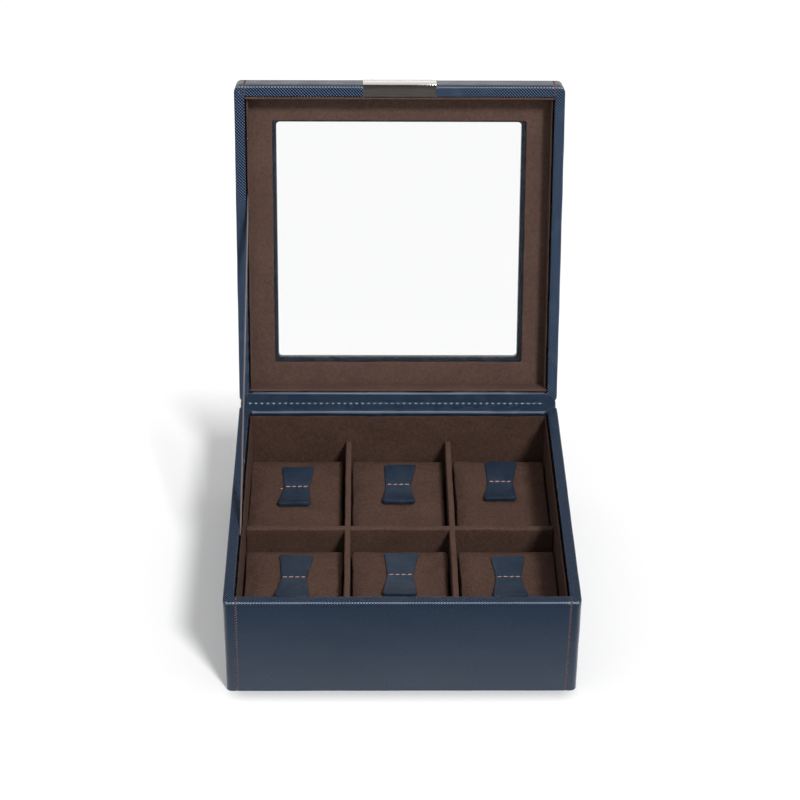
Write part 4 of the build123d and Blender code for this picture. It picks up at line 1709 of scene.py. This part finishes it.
@dataclass
class LidPanel:
    """Suede-covered frame inside the lid, under the glass. Its low side shows when the lid is open."""

    place: Placement
    outer: float = 103.7 * MM
    inner: float = 85.5 * MM
    front_narrower: float = 1.5 * MM
    low: float = 85.8 * MM
    high: float = 87.28 * MM

    def make(self) -> None:
        """Make the frame."""
        edge = 0.55 * MM
        rows = [(o, self.low) for o in np.linspace(self.outer, self.inner + edge, 6)]
        for a in np.radians([30, 60, 90]):
            rows.append((self.inner + edge * (1 - math.sin(a)), self.low + edge * (1 - math.cos(a))))
        rows += [(self.inner, self.high), (self.outer, self.high)]
        sizes, heights = (np.array(column) for column in zip(*rows))
        radii = np.where(sizes < self.inner + edge + 1e-6, 1.3 * MM, 0.4 * MM)
        skin = Ring(sizes, heights, radii, 3.5 * MM).skin()
        wobble = Wobble(91, 40 * MM, 8 * MM)
        points = skin.points
        near = np.clip(1 - (np.abs(points[:, :2]).max(1) - self.inner) / (2 * MM), 0, 1)
        along = points[:, 0] + points[:, 1] * 1.3
        points[:, :2] *= 1 + (near * 0.3 * MM * wobble.at(along) / self.inner)[:, None]
        points[:, 1] += near * (points[:, 1] < -0.5 * self.inner) * self.front_narrower
        shown = points[:, 2] < self.high - 0.1 * MM
        points[:, 2] += 0.15 * MM * wobble.at(points[:, 0], points[:, 1]) * shown
        placed(skin, "lid_suede_panel", self.place, LID_SUEDE, "lid_lining_panel")


@dataclass
class Dividers:
    """Suede floor, two long dividers and the cross divider."""

    place: Placement
    bottom: float = 6.2 * MM
    top: float = 46.4 * MM
    half_length: float = 101.2 * MM
    long_x: float = 34.4 * MM
    long_thick: float = 4 * MM
    cross_thick: float = 4.8 * MM

    def slab(self, low: Sequence[float], high: Sequence[float], axis: int, seed: int) -> Skin:
        """Upright slab with a soft, slightly uneven top edge.

        Args:
            low: Lowest corner.
            high: Highest corner.
            axis: Axis that it runs along, 0 or 1.
            seed: Seed of its unevenness.

        Returns:
            The skin.
        """
        skin = rounded_block(low, high, 1.15 * MM, 4 * MM)
        wobble = Wobble(seed, 60 * MM, 12 * MM)
        points = skin.points
        along = points[:, axis]
        up = np.clip((points[:, 2] - low[2]) / (high[2] - low[2]), 0, 1) ** 3
        points[:, 2] -= up * 0.5 * MM * wobble.at(along)
        across = 1 - axis
        points[:, across] += up * 0.35 * MM * (wobble.at(along, 0.05) - 0.5)
        return skin

    def make(self) -> None:
        """Make the floor and the dividers."""
        low, high = self.place.box("lining_floor")
        floor = rounded_block(low, high - (0, 0, 0.02 * MM), 0.3 * MM, 12 * MM)
        placed(floor, "floor_suede", self.place, SHADED_WALL_SUEDE, "lining_floor")
        for side in Side:
            x, half = side.value * self.long_x, self.long_thick / 2
            low = (x - half, -self.half_length, self.bottom)
            high = (x + half, self.half_length, self.top)
            word = side.name.lower()
            slab = self.slab(low, high, 1, 100 + side.value)
            placed(slab, f"divider_suede_{word}", self.place, DIVIDER_SUEDE, f"divider_{word}")
        low = (-self.half_length, -self.cross_thick / 2, self.bottom)
        high = (self.half_length, self.cross_thick / 2, self.top - 0.15 * MM)
        slab = self.slab(low, high, 0, 105)
        placed(slab, "divider_suede_cross", self.place, DIVIDER_SUEDE, "divider_cross")


# Cushions


@dataclass
class Cushion:
    """Loose foam cushion in suede, with a leather pull tab sewn down across its waist.

    Attributes:
        waist: Y of the tab's waist.
        lean_back: How far to the right the tab's back end leans.
        lean_front: How far to the right its front end leans.
        skew: How much further back the right corner of each end lies.
        tab_back: Length of the tab behind its waist.
        tab_waist: Half the tab's width there.
        further_left: How much further left the cushion reaches than the solid.
        seed: Seed of all unevenness.
        edge: Radius of the blank's edges.
        corner: Radius of its upright corners.
        tab_half: Half the length that the tab is cut to, before it is stretched.
        tab_front: Length of the tab ahead of its waist.
        tab_end: Half the width of its ends.
        back_rise: How far its back end curls up.
        front_rise: How far its front end curls up.
        seat: Height that it lies on.
    """

    word: str
    place: Placement
    waist: float
    lean_back: float
    lean_front: float
    skew: float
    tab_back: float
    tab_waist: float
    further_left: float
    seed: int
    edge: float = 1.3 * MM
    corner: float = 1.6 * MM
    tab_half: float = 22 * MM
    tab_front: float = 23.6 * MM
    tab_end: float = 11.2 * MM
    tab_thick: float = 1.5 * MM
    back_rise: float = 0.2 * MM
    front_rise: float = 3.2 * MM
    seat: float = 37.3 * MM

    def __post_init__(self) -> None:
        """Measure the CAD cushion."""
        self.low, self.high = self.place.box(f"cushion_{self.word}")
        self.centre = (self.low + self.high) / 2

    def blank(self) -> bpy.types.Object:
        """Foam blank before it swells: crowned, with drawn-in sides and round corners."""
        room = 0.3 * MM
        low = self.low + (room - self.further_left, room, 0.0)
        high = self.high - (room, room, 0.1 * MM)
        skin = rounded_block(low, high, self.edge, 4 * MM)
        centre = (low + high) / 2
        points = skin.points - centre
        half = (high - low) / 2
        level = np.clip(points[:, 2] / half[2], -1, 1)
        draw = 1 - 0.012 * np.clip(-level, 0, 1) ** 2
        far_x, far_y = np.abs(points[:, 0]) / half[0], np.abs(points[:, 1]) / half[1]
        near_corner = np.clip((far_x - 0.8) / 0.2, 0, 1) * np.clip((far_y - 0.86) / 0.14, 0, 1)
        cut = self.corner * (1 - math.sqrt(0.5)) * near_corner
        points[:, 0] = np.sign(points[:, 0]) * (np.abs(points[:, 0]) * draw - cut)
        points[:, 1] = np.sign(points[:, 1]) * (np.abs(points[:, 1]) * draw - cut)
        upper = np.clip(level, 0, 1) ** 2
        points[:, 2] -= upper * (0.25 * MM * far_x**2.5 + 0.25 * MM * far_y**3)
        wobble = Wobble(self.seed, 50 * MM, 14 * MM)
        points[:, 2] -= upper * 0.35 * MM * wobble.at(points[:, 0], points[:, 1])
        return Skin(points + centre, skin.faces).build(f"cushion_suede_{self.word}", self.place, 80)

    def fit_cloth(self, piece: bpy.types.Object) -> None:
        """Add the cloth that swells the blank, held where the tab is sewn.

        Args:
            piece: The blank.
        """
        sewn = piece.vertex_groups.new(name="sewn")
        for vertex in piece.data.vertices:
            beside = abs(vertex.co.x - self.centre[0]) < self.tab_waist
            if beside and abs(vertex.co.y - self.waist) < 2.2 * MM and vertex.co.z > self.centre[2]:
                sewn.add([vertex.index], 1.0, "REPLACE")
        cloth = piece.modifiers.new("swell", "CLOTH")
        cloth.settings.use_pressure = True
        cloth.settings.uniform_pressure_force = 4.0
        cloth.settings.vertex_group_mass = "sewn"
        cloth.settings.effector_weights.gravity = 0.0
        cloth.settings.shrink_min = -0.03
        cloth.settings.quality = 5
        cloth.point_cache.frame_start, cloth.point_cache.frame_end = 1, 20

    def settle(self, piece: bpy.types.Object, cap: float = 0.9 * MM) -> None:
        """Keep the swollen shape, no further out than a cap, and round it off.

        Args:
            piece: The cushion.
            cap: How far a point may have moved.
        """
        before = np.array([v.co for v in piece.data.vertices])
        if any(m.type == "CLOTH" for m in piece.modifiers):
            swollen = piece.evaluated_get(bpy.context.evaluated_depsgraph_get())
            after = np.array([v.co for v in swollen.data.vertices])
            moved = after - before
            length = np.linalg.norm(moved, axis=1, keepdims=True)
            moved *= np.minimum(1, cap / np.maximum(length, 1e-9))
            points = before + moved
            piece.modifiers.clear()
        else:
            points = before
        gap = 0.25 * MM
        lowest = self.low - (gap + self.further_left, gap, 0)
        points = np.clip(points, lowest, self.high + (gap, gap, 0.3 * MM))
        piece.data.vertices.foreach_set("co", points.astype(np.float32).ravel())
        piece.modifiers.new("round", "SUBSURF").levels = 1
        finer = bpy.data.meshes.new_from_object(piece.evaluated_get(bpy.context.evaluated_depsgraph_get()))
        finer.name = piece.name
        piece.modifiers.clear()
        piece.vertex_groups.clear()
        piece.data = finer
        finer.shade_smooth()
        dressed(piece, CUSHION_SUEDE, self.place.body, [f"cushion_{self.word}"])

    def tab_line(self, y: np.ndarray) -> tuple[np.ndarray, np.ndarray]:
        """Middle of the tab sideways and its underside, at distances from the waist.

        Args:
            y: Distances from the waist, positive towards the back.

        Returns:
            Sideways places and heights.
        """
        share = np.abs(y) / np.where(y > 0, self.tab_back, self.tab_front)
        lean = np.where(y > 0, self.lean_back, self.lean_front) * share
        flat = 2.5 * MM
        curl = np.clip((share * self.tab_half - flat) / (self.tab_half - flat), 0, 1) ** 2
        rise = curl * np.where(y > 0, self.back_rise, self.front_rise)
        return self.centre[0] + lean, self.seat + 0.3 * MM + rise

    def make_tab(self) -> None:
        """Make the tab, narrow at the waist, with both ends curling up."""
        low, high = (-self.tab_end, -self.tab_half, 0.0), (self.tab_end, self.tab_half, self.tab_thick)
        skin = rounded_block(low, high, 0.5 * MM, 1.6 * MM)
        points = skin.points
        y = points[:, 1].copy()
        reach = np.abs(y)
        width = self.tab_waist + (self.tab_end - self.tab_waist) * reach / self.tab_half
        round_end = 2.1 * MM
        into = np.clip(reach - (self.tab_half - round_end), 0, round_end)
        width = width - round_end + np.sqrt(np.maximum(round_end**2 - into**2, 0))
        wobble = Wobble(self.seed + 7, 30 * MM, 9 * MM)
        stretch = np.where(y > 0, self.tab_back, self.tab_front) / self.tab_half
        middle, under = self.tab_line(y * stretch)
        skewed = y * stretch + self.skew * points[:, 0] / self.tab_end * reach / self.tab_half
        x = points[:, 0] / self.tab_end * width
        lift = under + 0.25 * MM * (wobble.at(x, y) - 0.5) * np.clip(reach / self.tab_half * 2, 0, 1)
        dent = 0.25 * MM * np.exp(-((y / (0.9 * MM)) ** 2)) * (points[:, 2] > self.tab_thick / 2)
        thicker = 1.3 * MM * (points[:, 2] < self.tab_thick / 2) * (y < 0) * (reach / self.tab_half) ** 4
        shaped = np.column_stack([middle + x, self.waist + skewed, points[:, 2] + lift - dent - thicker])
        name = f"tab_leather_{self.word}"
        placed(Skin(shaped, skin.faces), name, self.place, TAB_LEATHER, f"tab_{self.word}")

    def make_stitches(self, loose_end: bool) -> None:
        """Sew the tab down with four stitches across its waist.

        Args:
            loose_end: Whether one more stitch shows on the cushion to the left of the tab.
        """
        chance = np.random.default_rng(self.seed + 3)
        top = self.seat + 0.3 * MM + self.tab_thick - 0.25 * MM
        places = [(-5.9 + 3.95 * i, 0.0, top, 1.3 * MM) for i in range(4)]
        if loose_end:
            places.append((-10.2, -1.4 * MM, self.seat + 0.6 * MM, 0.6 * MM))
        stitches = []
        for offset, ahead, height, length in places:
            half = length * chance.uniform(0.9, 1.1)
            slant = 0.3 * MM * chance.uniform(-0.4, 1)
            line = []
            for share in (-1.0, -0.75, 0.0, 0.75, 1.0):
                lift = 0.2 * MM - 0.9 * MM * max(0.0, abs(share) - 0.62)
                x, y = self.centre[0] + offset * MM + share * half, self.waist + ahead + share * slant
                line.append((x, y, height + lift))
            stitches.append(tube(np.array(line), 0.36 * MM, (0.1, 0.3, 0.95)))
        placed(merged(stitches), f"tab_stitches_{self.word}", self.place, TAB_THREAD)


@dataclass
class CushionSet:
    """All six cushions, swollen together so that the cloth is stepped only once."""

    frames: int = 20

    def cushions(self) -> list[Cushion]:
        """The six cushions, with the lean of each tab as it was pressed."""
        # Millimetres: waist ahead of the solid tab's middle, lean of the back end and of the front
        # end, skew, length behind the waist, half width of the waist
        rows = {
            "rear_left": (3.9, 0.5, -1.2, 0.0, 23.0, 8.6),
            "rear_middle": (3.5, 1.7, 0.3, 0.0, 23.4, 8.4),
            "rear_right": (2.0, 1.6, -1.0, 0.1, 23.4, 8.6),
            "front_left": (1.0, 1.1, -0.9, -0.5, 22.9, 8.1),
            "front_middle": (1.0, 0.9, -0.6, -0.2, 22.9, 8.3),
            "front_right": (0.8, 0.5, 0.2, 0.5, 21.8, 8.2),
        }
        made = []
        for number, (word, row) in enumerate(rows.items()):
            ahead, *fit = (value * MM for value in row)
            place = Placement(f"cushion_{word}")
            low, high = place.box(f"tab_{word}")
            waist = float(low[1] + high[1]) / 2 - ahead
            further_left = 0.8 * MM if word.endswith("left") else 0.0
            made.append(Cushion(word, place, waist, *fit, further_left, seed=200 + number * 11))
        return made

    def make(self) -> None:
        """Make the cushions, their tabs and their stitches."""
        cushions = self.cushions()
        blanks = [cushion.blank() for cushion in cushions]
        for cushion, blank in zip(cushions, blanks):
            cushion.fit_cloth(blank)
        for number in range(1, self.frames + 1):
            bpy.context.scene.frame_set(number)
        for cushion, blank in zip(cushions, blanks):
            cushion.settle(blank)
            cushion.make_tab()
            cushion.make_stitches(cushion.word == "rear_left")
        bpy.context.scene.frame_set(1)


# Catch, ribbon, window and what stays from the CAD


@dataclass
class CatchPlate:
    """Bent steel plate over the front of the lid and its rim."""

    place: Placement
    front_thick: float = 1.6 * MM
    rim_thick: float = 0.8 * MM
    edge: float = 0.55 * MM

    def make(self) -> None:
        """Make the plate from the CAD node's sizes."""
        low, high = self.place.box("clasp_plate")
        behind, above = low[1] + self.front_thick, low[2] + self.rim_thick
        outline = [(low[1], low[2]), (high[1], low[2]), (high[1], above)]
        outline += [(behind, above), (behind, high[2]), (low[1], high[2])]
        rings = np.array([[(x, y, z) for y, z in outline] for x in (low[0], high[0])])
        piece = loft(rings).build("catch_plate", self.place, 30)
        bevel = piece.modifiers.new("soften", "BEVEL")
        bevel.width, bevel.segments, bevel.limit_method = self.edge, 3, "ANGLE"
        finer = bpy.data.meshes.new_from_object(piece.evaluated_get(bpy.context.evaluated_depsgraph_get()))
        piece.modifiers.clear()
        piece.data = finer
        finer.shade_smooth()
        finer.set_sharp_from_angle(angle=math.radians(50))
        dressed(piece, STEEL, self.place.body, ["clasp_plate"])


@dataclass
class StayRibbon:
    """Ribbon that holds the open lid, tucked behind the linings at both ends.

    Attributes:
        foot_x: X of its middle at the base's rim.
        head_x: X of its middle at the lid's rim.
        tuck: How far each end runs on past the rim.
    """

    base: Placement
    lid: Placement
    foot_x: float = -102.7 * MM
    head_x: float = -102.1 * MM
    width: float = 11.6 * MM
    thickness: float = 0.5 * MM
    tuck: float = 12.5 * MM

    def make(self) -> None:
        """Make the ribbon, taut between the rims."""
        foot = np.array([self.foot_x, RIBBON_Y, BASE_RIM])
        head = self.lid.to_scene(np.array([[self.head_x, RIBBON_Y, LID_RIM]]))[0]
        run = head - foot
        length = float(np.linalg.norm(run))
        along = run / length
        across = np.cross(along, (1.0, 0.0, 0.0))
        across /= np.linalg.norm(across)
        thin = np.cross(across, along)
        front = [(-0.97, -0.5), (0, -0.5), (0.97, -0.5), (1, -0.2)]
        profile = np.array([(-1, -0.2), *front, (1, 0.2), *[(a, -t) for a, t in front[2::-1]], (-1, 0.2)])
        profile *= (self.width / 2, self.thickness)
        steps = np.linspace(-self.tuck, length + self.tuck, 71)
        edge = profile @ np.array([across, thin])
        skin = loft(np.array([foot + along * step + edge for step in steps]))
        places = []
        for start, end in zip(steps[:-1], steps[1:]):
            for low, high in zip(profile[:, 0], np.roll(profile[:, 0], -1)):
                places += texture_square(start, end, low, high)
        places += [(0.0, 0.0)] * (2 * len(profile))
        piece = Skin(skin.points, skin.faces, np.array(places)).build("stay_ribbon_woven", self.base)
        dressed(piece, RIBBON, None, ["stay_ribbon"])
        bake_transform(piece)


def dress_cad_nodes() -> None:
    """Dress the CAD nodes that stay: boards and magnets inside the walls, felt and glass in sight."""
    for node in sorted(frame["nodes"]):
        if "_board_" in node or "_rail_" in node or "_stile_" in node:
            redressed(node, BOARD)
        elif node.startswith("catch_magnet"):
            redressed(node, NICKEL)
    redressed("underside_felt", FELT)
    redressed("window_glass", GLASS)


# Studio


@dataclass
class Studio:
    """Pale floor, soft light from the front right and the camera.

    Attributes:
        key_from: Direction that the key light comes from.
        key_angle: Degrees that the key light is wide.
        sky_strength: Strength of the sky as light.
        white: Strength of what the eye sees as plain white.
        fade: Y where the floor starts to turn white, and where it is white.
        shadow: Half width of the shadow painted on the floor ahead of the box, inside and outside its edge.
        lens: Focal length in millimetres, on a sensor of the width below.
        sensor: Width of the sensor in millimetres.
        pitch: Degrees that the camera looks down.
        yaw: Degrees that it looks to the right.
        roll: Degrees that it is turned about its line of sight.
    """

    key_strength: float = 2.35
    key_from: tuple[float, float, float] = (0.34, -0.62, 0.71)
    key_angle: float = 11
    sky_strength: float = 0.48
    white: float = 1.03
    fade: tuple[float, float] = (170 * MM, 245 * MM)
    shadow: tuple[float, float] = (99 * MM, 112 * MM)
    lens: float = 100.09
    sensor: float = 36.0
    eye: tuple[float, float, float] = (-21.2 * MM, -1178.3 * MM, 915.5 * MM)
    pitch: float = 33.142
    yaw: float = 0.993
    roll: float = -0.57

    def stand(self, name: str, corners: Sequence[tuple[float, float, float]]) -> bpy.types.Object:
        """Put a flat surface with four corners into the scene."""
        mesh = bpy.data.meshes.new(name)
        mesh.from_pydata(corners, [], [(0, 1, 2, 3)])
        surface = bpy.data.objects.new(name, mesh)
        bpy.context.scene.collection.objects.link(surface)
        return surface

    def pose(self, axes: Sequence[np.ndarray], place: Sequence[float] = (0, 0, 0)) -> Matrix:
        """Matrix of an object at a place, from its X, Y and Z directions."""
        rows = np.column_stack([*axes, place]).tolist()
        return Matrix([*rows, (0, 0, 0, 1)])

    def make_floor(self) -> None:
        """Make the floor, which turns plain white behind the box."""
        size = 6.0
        floor = self.stand("floor", [(-size, -size, 0), (size, -size, 0), (size, size, 0), (-size, size, 0)])
        floor.location.z = -0.3 * MM
        n = MaterialNodes("pale_floor")
        x, y, _ = n.axes(n.place("Object"))
        path = n.add("LightPath")
        through = path.outputs["Is Transmission Ray"]
        direct = n.maths("LESS_THAN", path.outputs["Diffuse Depth"], 0.5)
        seen = n.times(n.maths("MAXIMUM", path.outputs["Is Camera Ray"], through), direct)
        # Painted contact shadow: in a strip just ahead of the box the floor is darker and its lift lower.
        beside = n.spread(n.maths("ABSOLUTE", x), *self.shadow, 1.0, 0.0)
        near = n.times(beside, n.spread(y, -0.112, -0.121, 1.0, 0.0))
        lift = n.maths("SUBTRACT", n.spread(y, -0.112, -0.128, 0.115, 0.275), n.times(near, 0.115))
        lifted = n.joined("AddShader", n.shader.outputs["BSDF"], n.glow(n.times(seen, lift)))
        white = n.times(seen, n.spread(y, *self.fade, 0.0, 1.0))
        bright = n.glow(n.plus(n.times(through, -0.045), self.white))
        clean = n.joined("MixShader", white, lifted, bright)
        mirrored = n.maths("SUBTRACT", path.outputs["Is Glossy Ray"], through)
        ahead = n.times(n.spread(y, -0.2, -0.115, 0.03, 1.8), n.spread(y, -0.1, 0.0, 1.0, 0.68))
        only_mirrored = n.maths("GREATER_THAN", mirrored, 0.5)
        surface = n.joined("MixShader", only_mirrored, clean, n.glow(ahead))
        n.join(surface, n.output.inputs["Surface"])
        # Painted contact shadow ahead of the box.
        colour = n.mix(near, (0.95, 0.95, 0.95, 1.0), (0.76, 0.76, 0.77, 1.0))
        floor.data.materials.append(
            n.dress({"Base Color": colour, "Roughness": 1.0, "Specular IOR Level": 0.0})
        )

    def make_card(self) -> None:
        """Stand a dark card in front of the box, which only reflections see."""
        corners = [(-1.2, -0.5, 0.0), (1.2, -0.5, 0.0), (1.2, -0.62, 0.42), (-1.2, -0.62, 0.42)]
        card = self.stand("dark_card", corners)
        n = MaterialNodes("dark_card")
        card.data.materials.append(
            n.dress({"Base Color": tone(134, 130, 127), "Roughness": 1.0, "Specular IOR Level": 0.0})
        )
        card.visible_camera = card.visible_diffuse = card.visible_shadow = False
        card.visible_transmission = False

    def make_sky(self) -> None:
        """White to the eye and through glass, dimmer as light, and dim above for reflections."""
        world = bpy.data.worlds.new("studio")
        bpy.context.scene.world = world
        world.use_nodes = True
        n = Nodes(world.node_tree)
        path = n.add("LightPath")
        _, y, z = n.axes(n.place("Generated"))
        low_sky = n.times(n.spread(z, 0.08, 0.4, 1.05, 0.3), n.spread(y, -0.5, 0.1, 0.12, 1.0))
        softbox = n.times(n.spread(z, 0.72, 0.88, 0.0, 1.5), n.spread(y, 0.2, 0.5, 1.0, 0.0))
        shine = n.plus(low_sky, softbox)
        extra = n.times(path.outputs["Is Glossy Ray"], n.maths("SUBTRACT", shine, self.sky_strength))
        plain = n.plus(extra, self.sky_strength)
        direct = n.maths("LESS_THAN", path.outputs["Diffuse Depth"], 0.5)
        through = n.times(path.outputs["Is Transmission Ray"], direct, 1.05)
        bright = n.maths("MAXIMUM", n.times(path.outputs["Is Camera Ray"], self.white), through)
        background = n.add("Background", {"Color": (1, 1, 1, 1)})
        n.join(n.maths("MAXIMUM", plain, bright), background.inputs["Strength"])
        n.join(background.outputs[0], n.add("OutputWorld").inputs["Surface"])

    def make_key(self) -> None:
        """Hang the soft key light to the front right."""
        light = bpy.data.lights.new("key", "SUN")
        light.energy = self.key_strength
        light.angle = math.radians(self.key_angle)
        key = bpy.data.objects.new("key", light)
        toward = np.array(self.key_from) / np.linalg.norm(self.key_from)
        side = np.cross((0, 0, 1), toward)
        side /= np.linalg.norm(side)
        key.matrix_world = self.pose([side, np.cross(toward, side), toward])
        bpy.context.scene.collection.objects.link(key)

    def make_camera(self) -> None:
        """Place the camera as in the photograph."""
        pitch, yaw, roll = (math.radians(angle) for angle in (self.pitch, self.yaw, self.roll))
        level = math.cos(pitch)
        ahead = np.array([math.sin(yaw) * level, math.cos(yaw) * level, -math.sin(pitch)])
        flat_right = np.array([math.cos(yaw), -math.sin(yaw), 0.0])
        flat_down = np.cross(ahead, flat_right)
        right = math.cos(roll) * flat_right + math.sin(roll) * flat_down
        down = math.cos(roll) * flat_down - math.sin(roll) * flat_right
        data = bpy.data.cameras.new("camera")
        data.lens, data.sensor_width = self.lens, self.sensor
        data.clip_start, data.clip_end = 0.05, 30.0
        camera = bpy.data.objects.new("camera", data)
        camera.matrix_world = self.pose([right, -down, -ahead], self.eye)
        bpy.context.scene.collection.objects.link(camera)
        bpy.context.scene.camera = camera

    def make(self) -> None:
        """Make the whole studio."""
        self.make_floor()
        self.make_card()
        self.make_sky()
        self.make_key()
        self.make_camera()
        bpy.context.scene.view_settings.view_transform = "Standard"
        log.info("studio and camera are in place")


def write_sizes() -> None:
    """Update the view layer."""
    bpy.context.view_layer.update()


def main() -> None:
    """Build every sub-assembly in order."""
    logging.basicConfig(level=logging.INFO, format="%(name)s: %(message)s")
    base = Placement("base")
    lid = Placement("lid", tuple(HINGE), -LID_OPEN)
    Studio().make()
    seams = {Side.LEFT: (101.75 * MM, 102.7 * MM, 0.0), Side.RIGHT: (103.5 * MM, 103.4 * MM, 0.0)}
    CaseLeather("base", base, BASE_LEATHER, BASE_RIM, 1, 69.9 * MM, 1, seams).make()
    CaseLeather("lid", lid, LID_LEATHER, LID_RIM, -1, 24.2 * MM, 2, catch_half=24.5 * MM).make()
    LidTop(lid).make()
    HingeLeather(base, lid).make()
    base_edges = dict.fromkeys(("right", "back", "left", "front"), 66.3 * MM)
    Linings("lining", base, SHADED_WALL_SUEDE, 6.2 * MM, base_edges, {}, 80).make()
    lid_edges = {"right": 74.0 * MM, "back": 72.4 * MM, "left": 74.0 * MM, "front": 71.1 * MM}
    lid_draws = {"back": -0.2 * MM, "front": 0.1 * MM}
    Linings("lid_lining", lid, LID_SUEDE, 85.8 * MM, lid_edges, lid_draws, 85).make()
    LidPanel(lid).make()
    Dividers(base).make()
    CushionSet().make()
    CatchPlate(lid).make()
    StayRibbon(base, lid).make()
    dress_cad_nodes()
    write_sizes()


if __name__ == "__main__":
    main()
